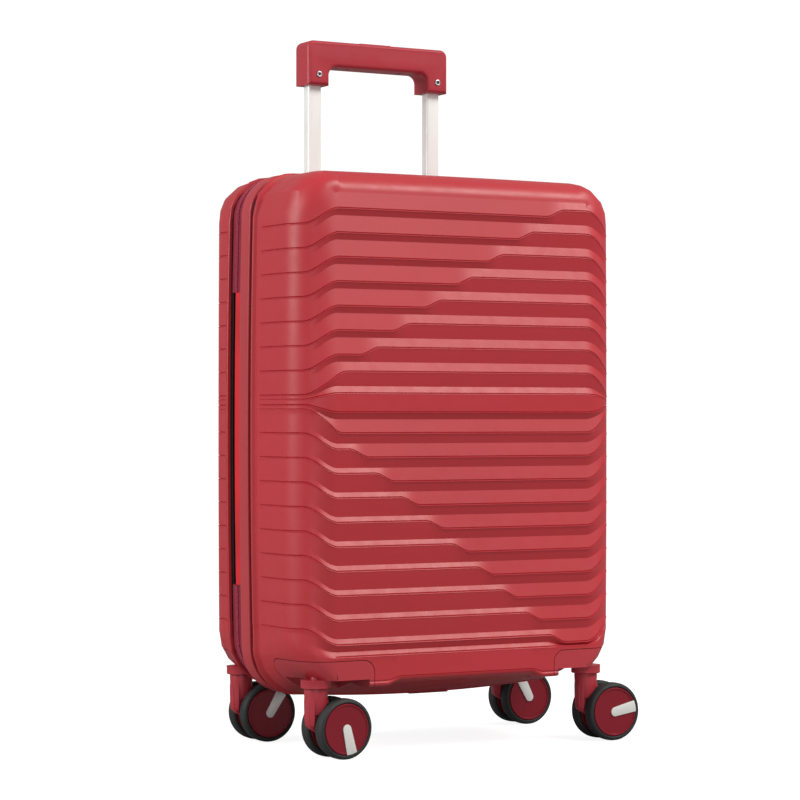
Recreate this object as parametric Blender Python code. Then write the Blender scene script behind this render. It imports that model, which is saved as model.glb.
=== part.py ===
"""Hard shell cabin suitcase on four twin-wheel casters, as separate pieces.

Metres, +Z up, +X to the right as seen from the ribbed front, which faces -Y.
Depths through the case are counted from its front face, and sit at y = depth - DEPTH / 2.
"""
import bpy
import bmesh
from math import asin, cos, sin, pi, radians
from mathutils import Matrix, Vector

# ---- driving dimensions of the case -------------------------------------------------------
CASE_X = -0.0097            # middle of the case; the right front wheel reaches past its side
WIDTH = 0.3556
DEPTH = 0.2010
WALL = 0.0022
GAP = 0.0003                # between pieces that touch
RIM_STEP = 0.0020           # how far the shells' rims stand proud of their walls
# how far the rims and the band swell between their corners: right, top, left, bottom
BOW = (0.0026, 0.0020, 0.0026, 0.0050)
REAR_BOW = (0.0026, 0.0, 0.0026, 0.0020)
RIM_LOW, RIM_TOP = 0.0530, 0.5528
BODY_LOW, BODY_TOP = 0.0560, 0.5508
FACE_LOW = 0.0690           # lower front edge of the front shell
REAR_LOW = 0.0602           # the rear shell stays above the swivelling rear wheels
REAR_FACE_LOW = 0.0665
CORNER_LOW, CORNER_TOP = 0.047, 0.042
SIDE_ROUND, TOP_ROUND, REAR_TOP_ROUND, LOW_ROUND = 0.037, 0.022, 0.012, 0.006
EDGE_STEPS = 5
RIB_HEIGHT = 0.0022
RIB_PITCH = 0.0227
PATTERN_Z = 0.3326          # the ribs mirror about this level
PLATEAU = 0.0090
RIBS_UP, RIBS_DOWN = 8, 10

# ---- depths from the front face -----------------------------------------------------------
FRONT_WALL_END = 0.0845
FRONT_RIM_END = 0.0950
BAND_START, BAND_END = 0.1020, 0.1250
REAR_RIM_START = 0.1410
REAR_RIM_END = 0.1480
LINING_FLOOR = 0.0260       # the rear lining's back, from the rear face: it covers the trolley tubes

# ---- casters ------------------------------------------------------------------------------
CASTER_IN = 0.0272          # swivel axis from the case's side
CASTER_FRONT = 0.0213       # swivel axis from the front face
CASTER_REAR = 0.0222        # swivel axis from the rear face
TRAIL = 0.0226
TYRE_R, HUB_R = 0.0286, 0.0242
WHEEL_Z = TYRE_R
WHEEL_IN, WHEEL_OUT = 0.0056, 0.0192
AXLE_R, AXLE_HOLE = 0.0025, 0.0028
WHEEL_STEPS = 24
POST_R, COLLAR_R, PIN_R, PIN_HOLE = 0.0115, 0.0143, 0.0050, 0.0054
COLLAR_LOW, PLATE_LOW, PLATE_TOP, HOUSING_TOP = 0.0668, 0.0745, 0.0785, 0.0925
HOUSING_X, HOUSING_FRONT_Y, HOUSING_REAR_Y = 0.078, 0.067, 0.051
CASTER_TURN = {"front_left": 4, "front_right": -2, "rear_left": 0, "rear_right": 0}

# ---- trolley handle -----------------------------------------------------------------------
TUBE_X, TUBE_Y = 0.0683, 0.0845
INNER_TUBE, MIDDLE_TUBE, OUTER_TUBE = (0.0145, 0.0120), (0.0175, 0.0150), (0.0205, 0.0180)
TUBE_WALL = 0.0011
GRIP_LOW, GRIP_ARCH, GRIP_TOP = 0.6505, 0.6695, 0.6950
GRIP_HALF, GRIP_LEG, GRIP_DEPTH = 0.0805, 0.0243, 0.0300
SHELL_TOP = BODY_TOP + 0.0004
BEZEL_TOP = 0.0045 + SHELL_TOP

# ---- pop-up carry handle, lock, hinge -----------------------------------------------------
CARRY_Y, CARRY_POST_X, CARRY_POST_R = 0.0602, 0.046, 0.0034
HINGE_LOW, HINGE_TOP = 0.158, 0.439
LOCK_Z, LOCK_HALF = 0.330, 0.034
LOCK_Y = 0.0575
DIAL_R, DIAL_WIDTH, DIAL_STEP = 0.0055, 0.0044, 0.0090
SIDE_X = WIDTH / 2

RED = (0.42, 0.030, 0.040)
DARK_RED = (0.17, 0.008, 0.022)
BRIGHT_RED = (0.53, 0.012, 0.028)
MAGENTA = (0.17, 0.010, 0.045)
BLACK = (0.030, 0.032, 0.032)
SILVER = (0.72, 0.73, 0.73)
LINING = (0.10, 0.10, 0.11)

PARTS = bpy.data.collections.new("hard_shell_suitcase")
CUTTERS = bpy.data.collections.new("cutters")


# ---- scene and object helpers -------------------------------------------------------------
def clear_scene():
    for obj in list(bpy.data.objects):
        bpy.data.objects.remove(obj, do_unlink=True)
    for collection in (PARTS, CUTTERS):
        bpy.context.scene.collection.children.link(collection)


def paint(obj, colour, roughness=0.45, metallic=0.0):
    material = bpy.data.materials.new(obj.name)
    material.use_nodes = True
    shader = material.node_tree.nodes["Principled BSDF"]
    shader.inputs["Base Color"].default_value = (*colour, 1.0)
    shader.inputs["Roughness"].default_value = roughness
    shader.inputs["Metallic"].default_value = metallic
    obj.data.materials.clear()
    obj.data.materials.append(material)


def add_object(name, bm, colour=RED, roughness=0.45, metallic=0.0, collection=PARTS):
    """Turns a bmesh into a named object with its own material."""
    mesh = bpy.data.meshes.new(name)
    bmesh.ops.recalc_face_normals(bm, faces=bm.faces)
    bm.to_mesh(mesh)
    bm.free()
    obj = bpy.data.objects.new(name, mesh)
    collection.objects.link(obj)
    paint(obj, colour, roughness, metallic)
    return obj


def cutter(name, bm):
    obj = add_object(name, bm, collection=CUTTERS)
    obj.hide_render = True
    obj.display_type = "WIRE"
    return obj


def boolean(obj, tool, operation="DIFFERENCE"):
    modifier = obj.modifiers.new(tool.name, "BOOLEAN")
    modifier.operation = operation
    modifier.object = tool
    modifier.solver = "EXACT"


def smooth(obj, angle=35):
    obj.data.shade_smooth()
    obj.data.set_sharp_from_angle(angle=radians(angle))


def depth_y(depth):
    return depth - DEPTH / 2


# ---- bmesh shapes -------------------------------------------------------------------------
def join(bm, other):
    """Adds another bmesh's shape to bm as a body of its own."""
    mesh = bpy.data.meshes.new("joined")
    other.to_mesh(mesh)
    other.free()
    bm.from_mesh(mesh)
    bpy.data.meshes.remove(mesh)
    return bm


def box(low, high):
    """A box between two corners, given from the middle of the case."""
    bm = bmesh.new()
    low, high = Vector(low), Vector(high)
    bmesh.ops.create_cube(bm, size=1.0)
    bmesh.ops.scale(bm, vec=high - low, verts=bm.verts)
    bmesh.ops.translate(bm, vec=(low + high) / 2 + Vector((CASE_X, 0, 0)), verts=bm.verts)
    return bm


def rod(radius, start, end, segments=20, radius_end=None):
    """A cylinder or cone between two points, given from the middle of the case."""
    bm = bmesh.new()
    start, end = Vector(start), Vector(end)
    axis = end - start
    turn = axis.to_track_quat("Z", "Y").to_matrix().to_4x4()
    place = Matrix.Translation((start + end) / 2 + Vector((CASE_X, 0, 0))) @ turn
    bmesh.ops.create_cone(bm, cap_ends=True, segments=segments, radius1=radius,
                          radius2=radius if radius_end is None else radius_end,
                          depth=axis.length, matrix=place)
    return bm


def rounded_outline(half_w, z_low, z_top, r_low, r_top, bow, corner=5, side=3):
    """Points (x, z) round a bowed rectangle, anticlockwise from the lower right corner."""
    centres = ((half_w - r_low, z_low + r_low, r_low, -90), (half_w - r_top, z_top - r_top, r_top, 0),
               (r_top - half_w, z_top - r_top, r_top, 90), (r_low - half_w, z_low + r_low, r_low, 180))
    arcs = []
    for x, z, radius, first in centres:
        arc = []
        for step in range(corner + 1):
            angle = radians(first + 90 * step / corner)
            arc.append(Vector((x + radius * cos(angle), z + radius * sin(angle))))
        arcs.append(arc)
    points = []
    outward = (Vector((1, 0)), Vector((0, 1)), Vector((-1, 0)), Vector((0, -1)))
    for index, arc in enumerate(arcs):
        points += arc
        start, end = arc[-1], arcs[(index + 1) % 4][0]
        for step in range(1, side):
            share = step / side
            swell = bow[index] * 4 * share * (1 - share)
            points.append(start.lerp(end, share) + outward[index] * swell)
    return points


def add_loop(bm, points, y):
    return [bm.verts.new((p.x + CASE_X, y, p.y)) for p in points]


def skin(bm, first, second):
    """Quads between two loops with the same number of points."""
    count = len(first)
    for i in range(count):
        following = (i + 1) % count
        bm.faces.new((first[i], first[following], second[following], second[i]))


def loft(loops):
    """A closed solid through (points, y) loops in order, capped at both ends."""
    bm = bmesh.new()
    rings = [add_loop(bm, points, y) for points, y in loops]
    for first, second in zip(rings, rings[1:]):
        skin(bm, first, second)
    bm.faces.new(rings[0])
    bm.faces.new(rings[-1])
    bmesh.ops.recalc_face_normals(bm, faces=bm.faces)
    bmesh.ops.triangulate(bm, faces=[f for f in bm.faces if len(f.verts) == 4])
    return bm


def hoop(outline, inner_outline, y_start, y_end):
    """A closed ring band with a rectangular section."""
    bm = bmesh.new()
    rings = [add_loop(bm, outline, y_start), add_loop(bm, outline, y_end),
             add_loop(bm, inner_outline, y_end), add_loop(bm, inner_outline, y_start)]
    for index, ring in enumerate(rings):
        skin(bm, ring, rings[(index + 1) % 4])
    return bm


def extrude_outline(points, depth):
    """A prism from (x, z) points, from y = -depth / 2 to depth / 2, about the local origin."""
    bm = bmesh.new()
    verts = [bm.verts.new((x, -depth / 2, z)) for x, z in points]
    face = bm.faces.new(verts)
    extruded = bmesh.ops.extrude_face_region(bm, geom=[face])
    moved = [item for item in extruded["geom"] if isinstance(item, bmesh.types.BMVert)]
    bmesh.ops.translate(bm, vec=(0, depth, 0), verts=moved)
    bmesh.ops.recalc_face_normals(bm, faces=bm.faces)
    return bm


def bevel_edges(bm, width, segments, keep):
    edges = [edge for edge in bm.edges if keep(edge)]
    bmesh.ops.bevel(bm, geom=edges, offset=width, segments=segments, profile=0.5,
                    affect="EDGES", material=-1)
    return bm


def arc_points(x, z, radius, first, last, steps):
    return [(x + radius * cos(radians(first + (last - first) * i / steps)),
             z + radius * sin(radians(first + (last - first) * i / steps))) for i in range(steps + 1)]


# ---- shells -------------------------------------------------------------------------------
def rim_outline(inset=0.0, z_low=RIM_LOW, bow=BOW):
    return rounded_outline(SIDE_X + RIM_STEP - inset, z_low + inset, RIM_TOP - inset,
                           CORNER_LOW - inset, CORNER_TOP - inset, bow)


def body_outline(inset, z_low, bow, rounding=0.0, top_round=TOP_ROUND):
    """The shell wall's outline; rounding runs from 0 on the wall to 1 at the face."""
    low = z_low + inset + LOW_ROUND * rounding
    top = BODY_TOP - inset - top_round * rounding
    side = SIDE_X - inset - SIDE_ROUND * rounding
    shrink = inset + SIDE_ROUND * rounding
    return rounded_outline(side, low, top, max(CORNER_LOW - shrink, 0.006),
                           max(CORNER_TOP - shrink, 0.006), bow)


def edge_loop(sign, inset, angle, face_low, bow):
    """One loop on the rounded edge: angle 0 is where it leaves the wall, 90 degrees is the face."""
    rounding = 1 - cos(angle)
    depth = RIB_HEIGHT + inset + (SIDE_ROUND - inset) * (1 - sin(angle))
    flatter = [0.3 * (1 - rounding) * amount for amount in bow]
    top_round = TOP_ROUND if sign > 0 else REAR_TOP_ROUND
    return body_outline(inset, face_low, flatter, rounding, top_round), sign * depth_y(depth)


def face_loops(sign, inset, wall_depth, face_low, body_low, bow):
    """Loops from the wall's edge over the rounded edge to the face, counted from that face."""
    loops = [(body_outline(inset, body_low, bow), sign * depth_y(wall_depth))]
    loops += [edge_loop(sign, inset, radians(90 * step / EDGE_STEPS), face_low, bow)
              for step in range(EDGE_STEPS + 1)]
    return loops


def rib_levels():
    """Crest levels of the ribs above and below the plateau."""
    first = PATTERN_Z + 0.0063 + 0.82 * RIB_PITCH
    up = [first + k * RIB_PITCH for k in range(RIBS_UP)]
    down = [2 * PATTERN_Z - first - k * RIB_PITCH for k in range(RIBS_DOWN)]
    return [(z, 1) for z in up] + [(z, -1) for z in down]


def rib_bars(sign, half_length):
    """Long low wedges across a shell's face, and the flat plateau between the two halves."""
    face = sign * depth_y(0.0)
    root = sign * depth_y(RIB_HEIGHT + 0.0004)
    bm = box((-half_length, min(face, root), PATTERN_Z - PLATEAU),
             (half_length, max(face, root), PATTERN_Z + PLATEAU))
    for crest, side in rib_levels():
        low, high = crest - 0.43 * RIB_PITCH * 1.05, crest + 0.43 * RIB_PITCH * 1.05
        section = [(root, low), (face, crest), (root, high)]
        bar = bmesh.new()
        ends = [[bar.verts.new((x + CASE_X, y, z)) for y, z in section] for x in (-half_length, half_length)]
        bar.faces.new(ends[0])
        bar.faces.new(ends[1])
        for i in range(3):
            bar.faces.new((ends[0][i], ends[0][(i + 1) % 3], ends[1][(i + 1) % 3], ends[1][i]))
        join(bm, bar)
    bmesh.ops.recalc_face_normals(bm, faces=bm.faces)
    return bm


def shell(name, sign, rim_start, rim_end, face_low, body_low, rim_low, bow):
    """A tray with a proud rim: outside from rim to face, inside from face to rim."""
    outside = [(rim_outline(0.0, rim_low, bow), sign * depth_y(rim_end)),
               (rim_outline(0.0, rim_low, bow), sign * depth_y(rim_start + 0.0008))]
    outside += face_loops(sign, 0.0, rim_start, face_low, body_low, bow)
    inside = [(rim_outline(WALL, rim_low, bow), sign * depth_y(rim_end)),
              (rim_outline(WALL, rim_low, bow), sign * depth_y(rim_start + 0.0040))]
    inside += face_loops(sign, WALL, rim_start + 0.0020, face_low, body_low, bow)
    obj = add_object(name, loft(inside[::-1] + outside))
    boolean(obj, cutter(name + "_ribs", rib_bars(sign, SIDE_X - SIDE_ROUND - 0.001)), "UNION")
    for side in (-1, 1):
        boolean(obj, cutter(f"{name}_corner_{side}", corner_box(sign, side, 0.0, 0.03, HOUSING_TOP)))
    return obj


def corner_box(sign, side, shrink, z_low, z_top):
    """The space that a wheel housing fills, in one lower corner."""
    reach = HOUSING_FRONT_Y if sign > 0 else HOUSING_REAR_Y
    x = sorted((side * (SIDE_X + 0.01), side * (SIDE_X - HOUSING_X + shrink)))
    y = sorted((sign * depth_y(-0.01), sign * depth_y(reach - shrink)))
    return box((x[0], y[0], z_low), (x[1], y[1], z_top))


def solid_form(sign, inset):
    """The shell's outer shape as a solid, smaller by inset all round."""
    if sign > 0:
        return loft(face_loops(1, inset, 0.080, FACE_LOW, BODY_LOW, BOW))
    return loft(face_loops(-1, inset, 0.0525, REAR_FACE_LOW, REAR_LOW, REAR_BOW))


def wheel_housing(name, sign, side):
    """A corner cup: outer wall, bottom plate, collar and bearing boss for the caster's pin."""
    obj = add_object(name, solid_form(sign, 0.0))
    boolean(obj, cutter(name + "_block", corner_box(sign, side, GAP, 0.03, HOUSING_TOP - GAP)), "INTERSECT")
    boolean(obj, cutter(name + "_under", corner_box(sign, side, GAP + WALL, 0.02, PLATE_LOW)))
    pocket = cutter(name + "_pocket", solid_form(sign, WALL))
    boolean(pocket, cutter(name + "_pocket_limit", corner_box(sign, side, GAP + WALL, PLATE_TOP, 0.12)), "INTERSECT")
    boolean(obj, pocket)
    x, y = caster_place(sign, side)
    collar = rod(COLLAR_R, (x, y, COLLAR_LOW), (x, y, PLATE_TOP - 0.001), 24)
    boolean(obj, cutter(name + "_collar", collar), "UNION")
    boss = rod(0.0095, (x, y, PLATE_LOW + 0.001), (x, y, 0.0935), 16)
    boolean(obj, cutter(name + "_boss", boss), "UNION")
    boolean(obj, cutter(name + "_bore", rod(PIN_HOLE, (x, y, 0.05), (x, y, 0.10), 20)))
    return obj


def caster_place(sign, side):
    inset_y = CASTER_FRONT if sign > 0 else CASTER_REAR
    return side * (SIDE_X - CASTER_IN), sign * depth_y(inset_y)


def build_shells():
    shell("front_shell", 1, FRONT_WALL_END, FRONT_RIM_END, FACE_LOW, BODY_LOW, RIM_LOW, BOW)
    return shell("rear_shell", -1, DEPTH - REAR_RIM_END, DEPTH - REAR_RIM_START,
                 REAR_FACE_LOW, REAR_LOW, REAR_LOW - 0.001, REAR_BOW)


# ---- frame band, zips, hinge --------------------------------------------------------------
def build_band_and_zips():
    add_object("middle_frame", hoop(rim_outline(0.0006), rim_outline(0.0032),
                                    depth_y(BAND_START), depth_y(BAND_END)))
    add_object("expansion_gusset", hoop(rim_outline(0.0056), rim_outline(0.0064),
                                        depth_y(0.0890), depth_y(0.1100)), DARK_RED, 0.9)
    add_object("expander_zip", hoop(rim_outline(0.0036), rim_outline(0.0050),
                                    depth_y(FRONT_RIM_END + GAP), depth_y(BAND_START - GAP)), DARK_RED, 0.8)
    middle = (BAND_END + REAR_RIM_START) / 2
    zips = (("front_zip_half", BAND_END + GAP, middle - 0.0002), ("rear_zip_half", middle + 0.0002,
                                                                REAR_RIM_START - GAP))
    for name, start, end in zips:
        low = REAR_LOW - 0.001
        half = add_object(name, hoop(rim_outline(0.0030, low, REAR_BOW), rim_outline(0.0042, low, REAR_BOW),
                                     depth_y(start), depth_y(end)), MAGENTA, 0.8)
        boolean(half, cutter(name + "_gap", box((-SIDE_X - 0.02, depth_y(0.11), HINGE_LOW - GAP),
                                                (-SIDE_X + 0.03, depth_y(0.16), HINGE_TOP + GAP))))
    strip = add_object("hinge_strip", hoop(rim_outline(0.0030), rim_outline(0.0042),
                                           depth_y(BAND_END + GAP), depth_y(REAR_RIM_START - GAP)), BRIGHT_RED, 0.6)
    boolean(strip, cutter("hinge_strip_stretch", box((-SIDE_X - 0.02, depth_y(0.11), HINGE_LOW),
                                                     (-SIDE_X + 0.03, depth_y(0.16), HINGE_TOP))), "INTERSECT")


def build_bottom_tab():
    """The fabric tab over the zip's end, under the case."""
    top = RIM_LOW + 0.0006 - BOW[3] - GAP
    tab = box((-0.002, depth_y(0.1030), top - 0.0020), (0.039, depth_y(0.1245), top))
    add_object("zip_end_cover", tab, MAGENTA, 0.9)


# ---- linings ------------------------------------------------------------------------------
def lining(name, sign, mouth, low, bow, floor=None):
    """A cloth skin inside a shell, open at the mouth, with its corners left out over the wheels.

    With a floor depth, the skin's back stands off the shell and hides what runs behind it.
    """
    face_low, body_low = low
    layers = []
    for inset in (WALL + 0.0010, WALL + 0.0018):
        if floor is None:
            layers.append(face_loops(sign, inset, mouth, face_low, body_low, bow))
            continue
        depth = floor + inset
        angle = asin(1 - (depth - RIB_HEIGHT - inset) / (SIDE_ROUND - inset))
        layers.append([(body_outline(inset, body_low, bow), sign * depth_y(mouth)),
                       edge_loop(sign, inset, 0.0, face_low, bow),
                       edge_loop(sign, inset, angle, face_low, bow)])
    obj = add_object(name, loft(layers[1][::-1] + layers[0]), LINING, 0.95)
    for side in (-1, 1):
        boolean(obj, cutter(f"{name}_corner_{side}", corner_box(sign, side, -0.0015, 0.03, HOUSING_TOP + 0.002)))
    return obj


# ---- trolley handle -----------------------------------------------------------------------
def rounded_tube(name, side, size, wall, z_low, z_top, colour=SILVER):
    """An upright square tube with rounded corners, open at both ends."""
    x = side * TUBE_X
    shapes = []
    for grow, extra in ((0.0, 0.0), (wall, 0.004)):
        half_x, half_y = size[0] / 2 - grow, size[1] / 2 - grow
        bm = box((x - half_x, TUBE_Y - half_y, z_low - extra), (x + half_x, TUBE_Y + half_y, z_top + extra))
        shapes.append(bevel_edges(bm, 0.0024 - grow, 2, lambda e: abs((e.verts[0].co - e.verts[1].co).z) > 0.01))
    obj = add_object(name, shapes[0], colour, 0.3, 0.9)
    boolean(obj, cutter(name + "_bore", shapes[1]))
    return obj


def trolley_grip():
    """An arch with two legs that take the inner tubes, and a well for the release button."""
    half, leg, arch_r, top_r = GRIP_HALF, GRIP_LEG, 0.007, 0.006
    points = [(-half, GRIP_LOW), (-half + leg, GRIP_LOW)]
    points += arc_points(-half + leg + arch_r, GRIP_ARCH - arch_r, arch_r, 180, 90, 4)
    points += arc_points(half - leg - arch_r, GRIP_ARCH - arch_r, arch_r, 90, 0, 4)
    points += [(half - leg, GRIP_LOW), (half, GRIP_LOW)]
    points += arc_points(half - top_r, GRIP_TOP - top_r, top_r, 0, 90, 3)
    points += arc_points(-half + top_r, GRIP_TOP - top_r, top_r, 90, 180, 3)
    bm = extrude_outline(points, GRIP_DEPTH)
    bevel_edges(bm, 0.0035, 2, lambda e: abs(abs(e.verts[0].co.y) + abs(e.verts[1].co.y) - GRIP_DEPTH) < 1e-5
                and abs(e.verts[0].co.y - e.verts[1].co.y) < 1e-5)
    bmesh.ops.translate(bm, vec=(CASE_X, TUBE_Y, 0), verts=bm.verts)
    obj = add_object("trolley_grip", bm)
    for side in (-1, 1):
        x = side * TUBE_X
        half_x, half_y = INNER_TUBE[0] / 2 + GAP, INNER_TUBE[1] / 2 + GAP
        boolean(obj, cutter(f"grip_socket_{side}", box((x - half_x, TUBE_Y - half_y, GRIP_LOW - 0.01),
                                                       (x + half_x, TUBE_Y + half_y, GRIP_TOP - 0.012))))
        boolean(obj, cutter(f"grip_rivet_hole_{side}", rod(0.0020, (x, TUBE_Y - 0.02, 0.661), (x, TUBE_Y, 0.661), 12)))
    boolean(obj, cutter("grip_button_well", box((-0.0196, TUBE_Y - 0.0086, GRIP_TOP - 0.0125),
                                                (0.0196, TUBE_Y + 0.0086, GRIP_TOP + 0.01))))
    return obj


def build_trolley():
    for side, word in ((-1, "left"), (1, "right")):
        rounded_tube(f"outer_tube_{word}", side, OUTER_TUBE, TUBE_WALL, 0.0850, SHELL_TOP - 0.0035)
        rounded_tube(f"middle_tube_{word}", side, MIDDLE_TUBE, TUBE_WALL, 0.0900, SHELL_TOP + 0.0020)
        inner = rounded_tube(f"inner_tube_{word}", side, INNER_TUBE, TUBE_WALL, 0.1930, GRIP_TOP - 0.0125)
        x = side * TUBE_X
        boolean(inner, cutter(f"inner_rivet_hole_{word}", rod(0.0020, (x, TUBE_Y - 0.02, 0.661), (x, TUBE_Y, 0.661), 12)))
        face = TUBE_Y - GRIP_DEPTH / 2
        rivet = rod(0.0016, (x, face - 0.0004, 0.661), (x, TUBE_Y - 0.002, 0.661), 12)
        rivet_obj = add_object(f"grip_rivet_{word}", rivet, SILVER, 0.3, 1.0)
        head = rod(0.0030, (x, face - 0.0012, 0.661), (x, face - GAP, 0.661), 16)
        boolean(rivet_obj, cutter(f"grip_rivet_head_{word}", head), "UNION")
        smooth(rivet_obj)
    trolley_grip()
    button = bevel_edges(box((-0.0191, TUBE_Y - 0.0081, GRIP_TOP - 0.0085), (0.0191, TUBE_Y + 0.0081, GRIP_TOP + 0.0012)),
                         0.0010, 2, lambda e: min(e.verts[0].co.z, e.verts[1].co.z) > GRIP_TOP)
    add_object("grip_button", button)
    pad = box((-0.086, TUBE_Y - 0.0125, 0.5300), (0.086, TUBE_Y + 0.0125, BEZEL_TOP))
    bevel_edges(pad, 0.0035, 2, lambda e: abs((e.verts[0].co - e.verts[1].co).z) > 0.003)
    bezel = add_object("trolley_bezel", pad, RED, 0.5)
    boolean(bezel, cutter("bezel_seat", solid_form(-1, -GAP)))
    base = add_object("trolley_base", box((-0.084, TUBE_Y - 0.0105, 0.0762), (0.084, TUBE_Y + 0.0100, 0.0980)),
                      BLACK, 0.6)
    for side in (-1, 1):
        x = side * TUBE_X
        half_x, half_y = MIDDLE_TUBE[0] / 2 + 0.0004, MIDDLE_TUBE[1] / 2 + 0.0004
        boolean(bezel, cutter(f"bezel_hole_{side}", box((x - half_x, TUBE_Y - half_y, 0.54), (x + half_x, TUBE_Y + half_y, 0.57))))
        half_x, half_y = OUTER_TUBE[0] / 2 + GAP, OUTER_TUBE[1] / 2 + GAP
        boolean(bezel, cutter(f"bezel_socket_{side}", box((x - half_x, TUBE_Y - half_y, 0.52), (x + half_x, TUBE_Y + half_y, SHELL_TOP - 0.003))))
        boolean(base, cutter(f"base_socket_{side}", box((x - half_x, TUBE_Y - half_y, 0.0847), (x + half_x, TUBE_Y + half_y, 0.12))))


# ---- carry handle -------------------------------------------------------------------------
def build_carry_handle():
    """A flat grip on two posts that slide in a plate let into the top of the rear shell."""
    plate = box((-0.072, CARRY_Y - 0.0105, SHELL_TOP + GAP), (0.072, CARRY_Y + 0.0105, SHELL_TOP + 0.0025))
    bevel_edges(plate, 0.0040, 2, lambda e: abs((e.verts[0].co - e.verts[1].co).z) > 0.001)
    base = add_object("carry_handle_base", plate, RED, 0.5)
    bar = box((-0.058, CARRY_Y - 0.0080, SHELL_TOP + 0.0030), (0.058, CARRY_Y + 0.0080, SHELL_TOP + 0.0085))
    bevel_edges(bar, 0.0015, 2, lambda e: max(e.verts[0].co.z, e.verts[1].co.z) > SHELL_TOP + 0.006)
    grip = add_object("carry_grip", bar, DARK_RED, 0.6)
    for side in (-1, 1):
        x = side * CARRY_POST_X
        socket = rod(0.0062, (x, CARRY_Y, SHELL_TOP - 0.0160), (x, CARRY_Y, SHELL_TOP + 0.0012), 16)
        boolean(base, cutter(f"carry_socket_{side}", socket), "UNION")
        boolean(base, cutter(f"carry_bore_{side}", rod(CARRY_POST_R + 0.0004, (x, CARRY_Y, SHELL_TOP - 0.03),
                                                      (x, CARRY_Y, SHELL_TOP + 0.01), 16)))
        post = rod(CARRY_POST_R, (x, CARRY_Y, SHELL_TOP - 0.0390), (x, CARRY_Y, SHELL_TOP + 0.0040), 16)
        boolean(grip, cutter(f"carry_post_{side}", post), "UNION")
        stop = rod(0.0052, (x, CARRY_Y, SHELL_TOP - 0.0400), (x, CARRY_Y, SHELL_TOP - 0.0375), 16)
        boolean(grip, cutter(f"carry_stop_{side}", stop), "UNION")
    return base, grip


# ---- lock and zip pullers -----------------------------------------------------------------
def build_lock():
    """A number lock let into the right side, with three dials on one spindle."""
    face = SIDE_X + RIM_STEP + 0.0006
    dial_x = face - 0.0043
    plate = box((face - 0.0105, LOCK_Y - 0.0085, LOCK_Z - LOCK_HALF), (face, LOCK_Y + 0.0085, LOCK_Z + LOCK_HALF))
    lock = add_object("lock_body", bevel_edges(plate, 0.0012, 2, lambda e: min(e.verts[0].co.x, e.verts[1].co.x)
                                               > CASE_X + face - 0.0001), BLACK, 0.4)
    half = 1.5 * DIAL_STEP + 0.0005
    boolean(lock, cutter("lock_pocket", box((face - 0.02, LOCK_Y - 0.0062, LOCK_Z - half),
                                            (face - 0.0020, LOCK_Y + 0.0062, LOCK_Z + half))))
    for index in range(3):
        z = LOCK_Z + (index - 1) * DIAL_STEP
        boolean(lock, cutter(f"lock_window_{index}", box((face - 0.0030, LOCK_Y - 0.0056, z - 0.0028),
                                                         (face + 0.0050, LOCK_Y + 0.0056, z + 0.0028))))
    boolean(lock, cutter("lock_spindle", rod(0.0012, (dial_x, LOCK_Y, LOCK_Z - half - 0.001),
                                             (dial_x, LOCK_Y, LOCK_Z + half + 0.001), 12)), "UNION")
    for index, word in enumerate(("lower", "middle", "upper")):
        z = LOCK_Z + (index - 1) * DIAL_STEP
        dial = rod(DIAL_R, (dial_x, LOCK_Y, z - DIAL_WIDTH / 2), (dial_x, LOCK_Y, z + DIAL_WIDTH / 2), 20)
        obj = add_object(f"lock_dial_{word}", dial, SILVER, 0.4, 0.5)
        boolean(obj, cutter(f"dial_bore_{word}", rod(0.0016, (dial_x, LOCK_Y, z - 0.01), (dial_x, LOCK_Y, z + 0.01), 12)))
        obj.data.transform(Matrix.Translation((-CASE_X - dial_x, -LOCK_Y, -z)))
        obj.location = (CASE_X + dial_x, LOCK_Y, z)
        smooth(obj)


def build_pullers():
    """Two zip sliders with flat tabs, meeting beside the lock."""
    middle_y = depth_y((BAND_END + REAR_RIM_START) / 2)
    x = SIDE_X + RIM_STEP + BOW[0]
    for word, way in (("upper", 1), ("lower", -1)):
        start = LOCK_Z - 0.020 + way * 0.0010
        zs = sorted((start, start + way * 0.0110))
        slider = bevel_edges(box((x - 0.0026, middle_y - 0.0045, zs[0]), (x + 0.0006, middle_y + 0.0045, zs[1])),
                             0.0010, 2, lambda e: min(e.verts[0].co.x, e.verts[1].co.x) > CASE_X + x)
        obj = add_object(f"zip_puller_{word}", slider, SILVER, 0.35, 0.9)
        zs = sorted((start + way * 0.0060, start + way * 0.0380))
        tab = box((x - 0.0002, middle_y - 0.0032, zs[0]), (x + 0.0012, middle_y + 0.0032, zs[1]))
        boolean(obj, cutter(f"zip_puller_tab_{word}", tab), "UNION")


# ---- casters ------------------------------------------------------------------------------
def turned_ring(name, profile, steps, colour, roughness):
    """Turns a closed (radius, y) profile about the wheel's axis, which is local Y."""
    bm = bmesh.new()
    verts = [bm.verts.new((radius, y, 0)) for radius, y in profile]
    edges = [bm.edges.new((verts[i], verts[(i + 1) % len(verts)])) for i in range(len(verts))]
    bmesh.ops.spin(bm, geom=verts + edges, cent=(0, 0, 0), axis=(0, 1, 0), angle=2 * pi,
                   steps=steps, use_merge=True)
    obj = add_object(name, bm, colour, roughness)
    smooth(obj)
    return obj


def tyre_profile(side):
    inner, outer, crown = WHEEL_IN + 0.0004, WHEEL_OUT - 0.0006, 0.0022
    points = [(HUB_R + GAP, inner), (TYRE_R - 0.0014, inner), (TYRE_R, inner + crown),
              (TYRE_R, outer - crown), (TYRE_R - 0.0014, outer), (HUB_R + GAP, outer)]
    return [(radius, side * y) for radius, y in points]


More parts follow.
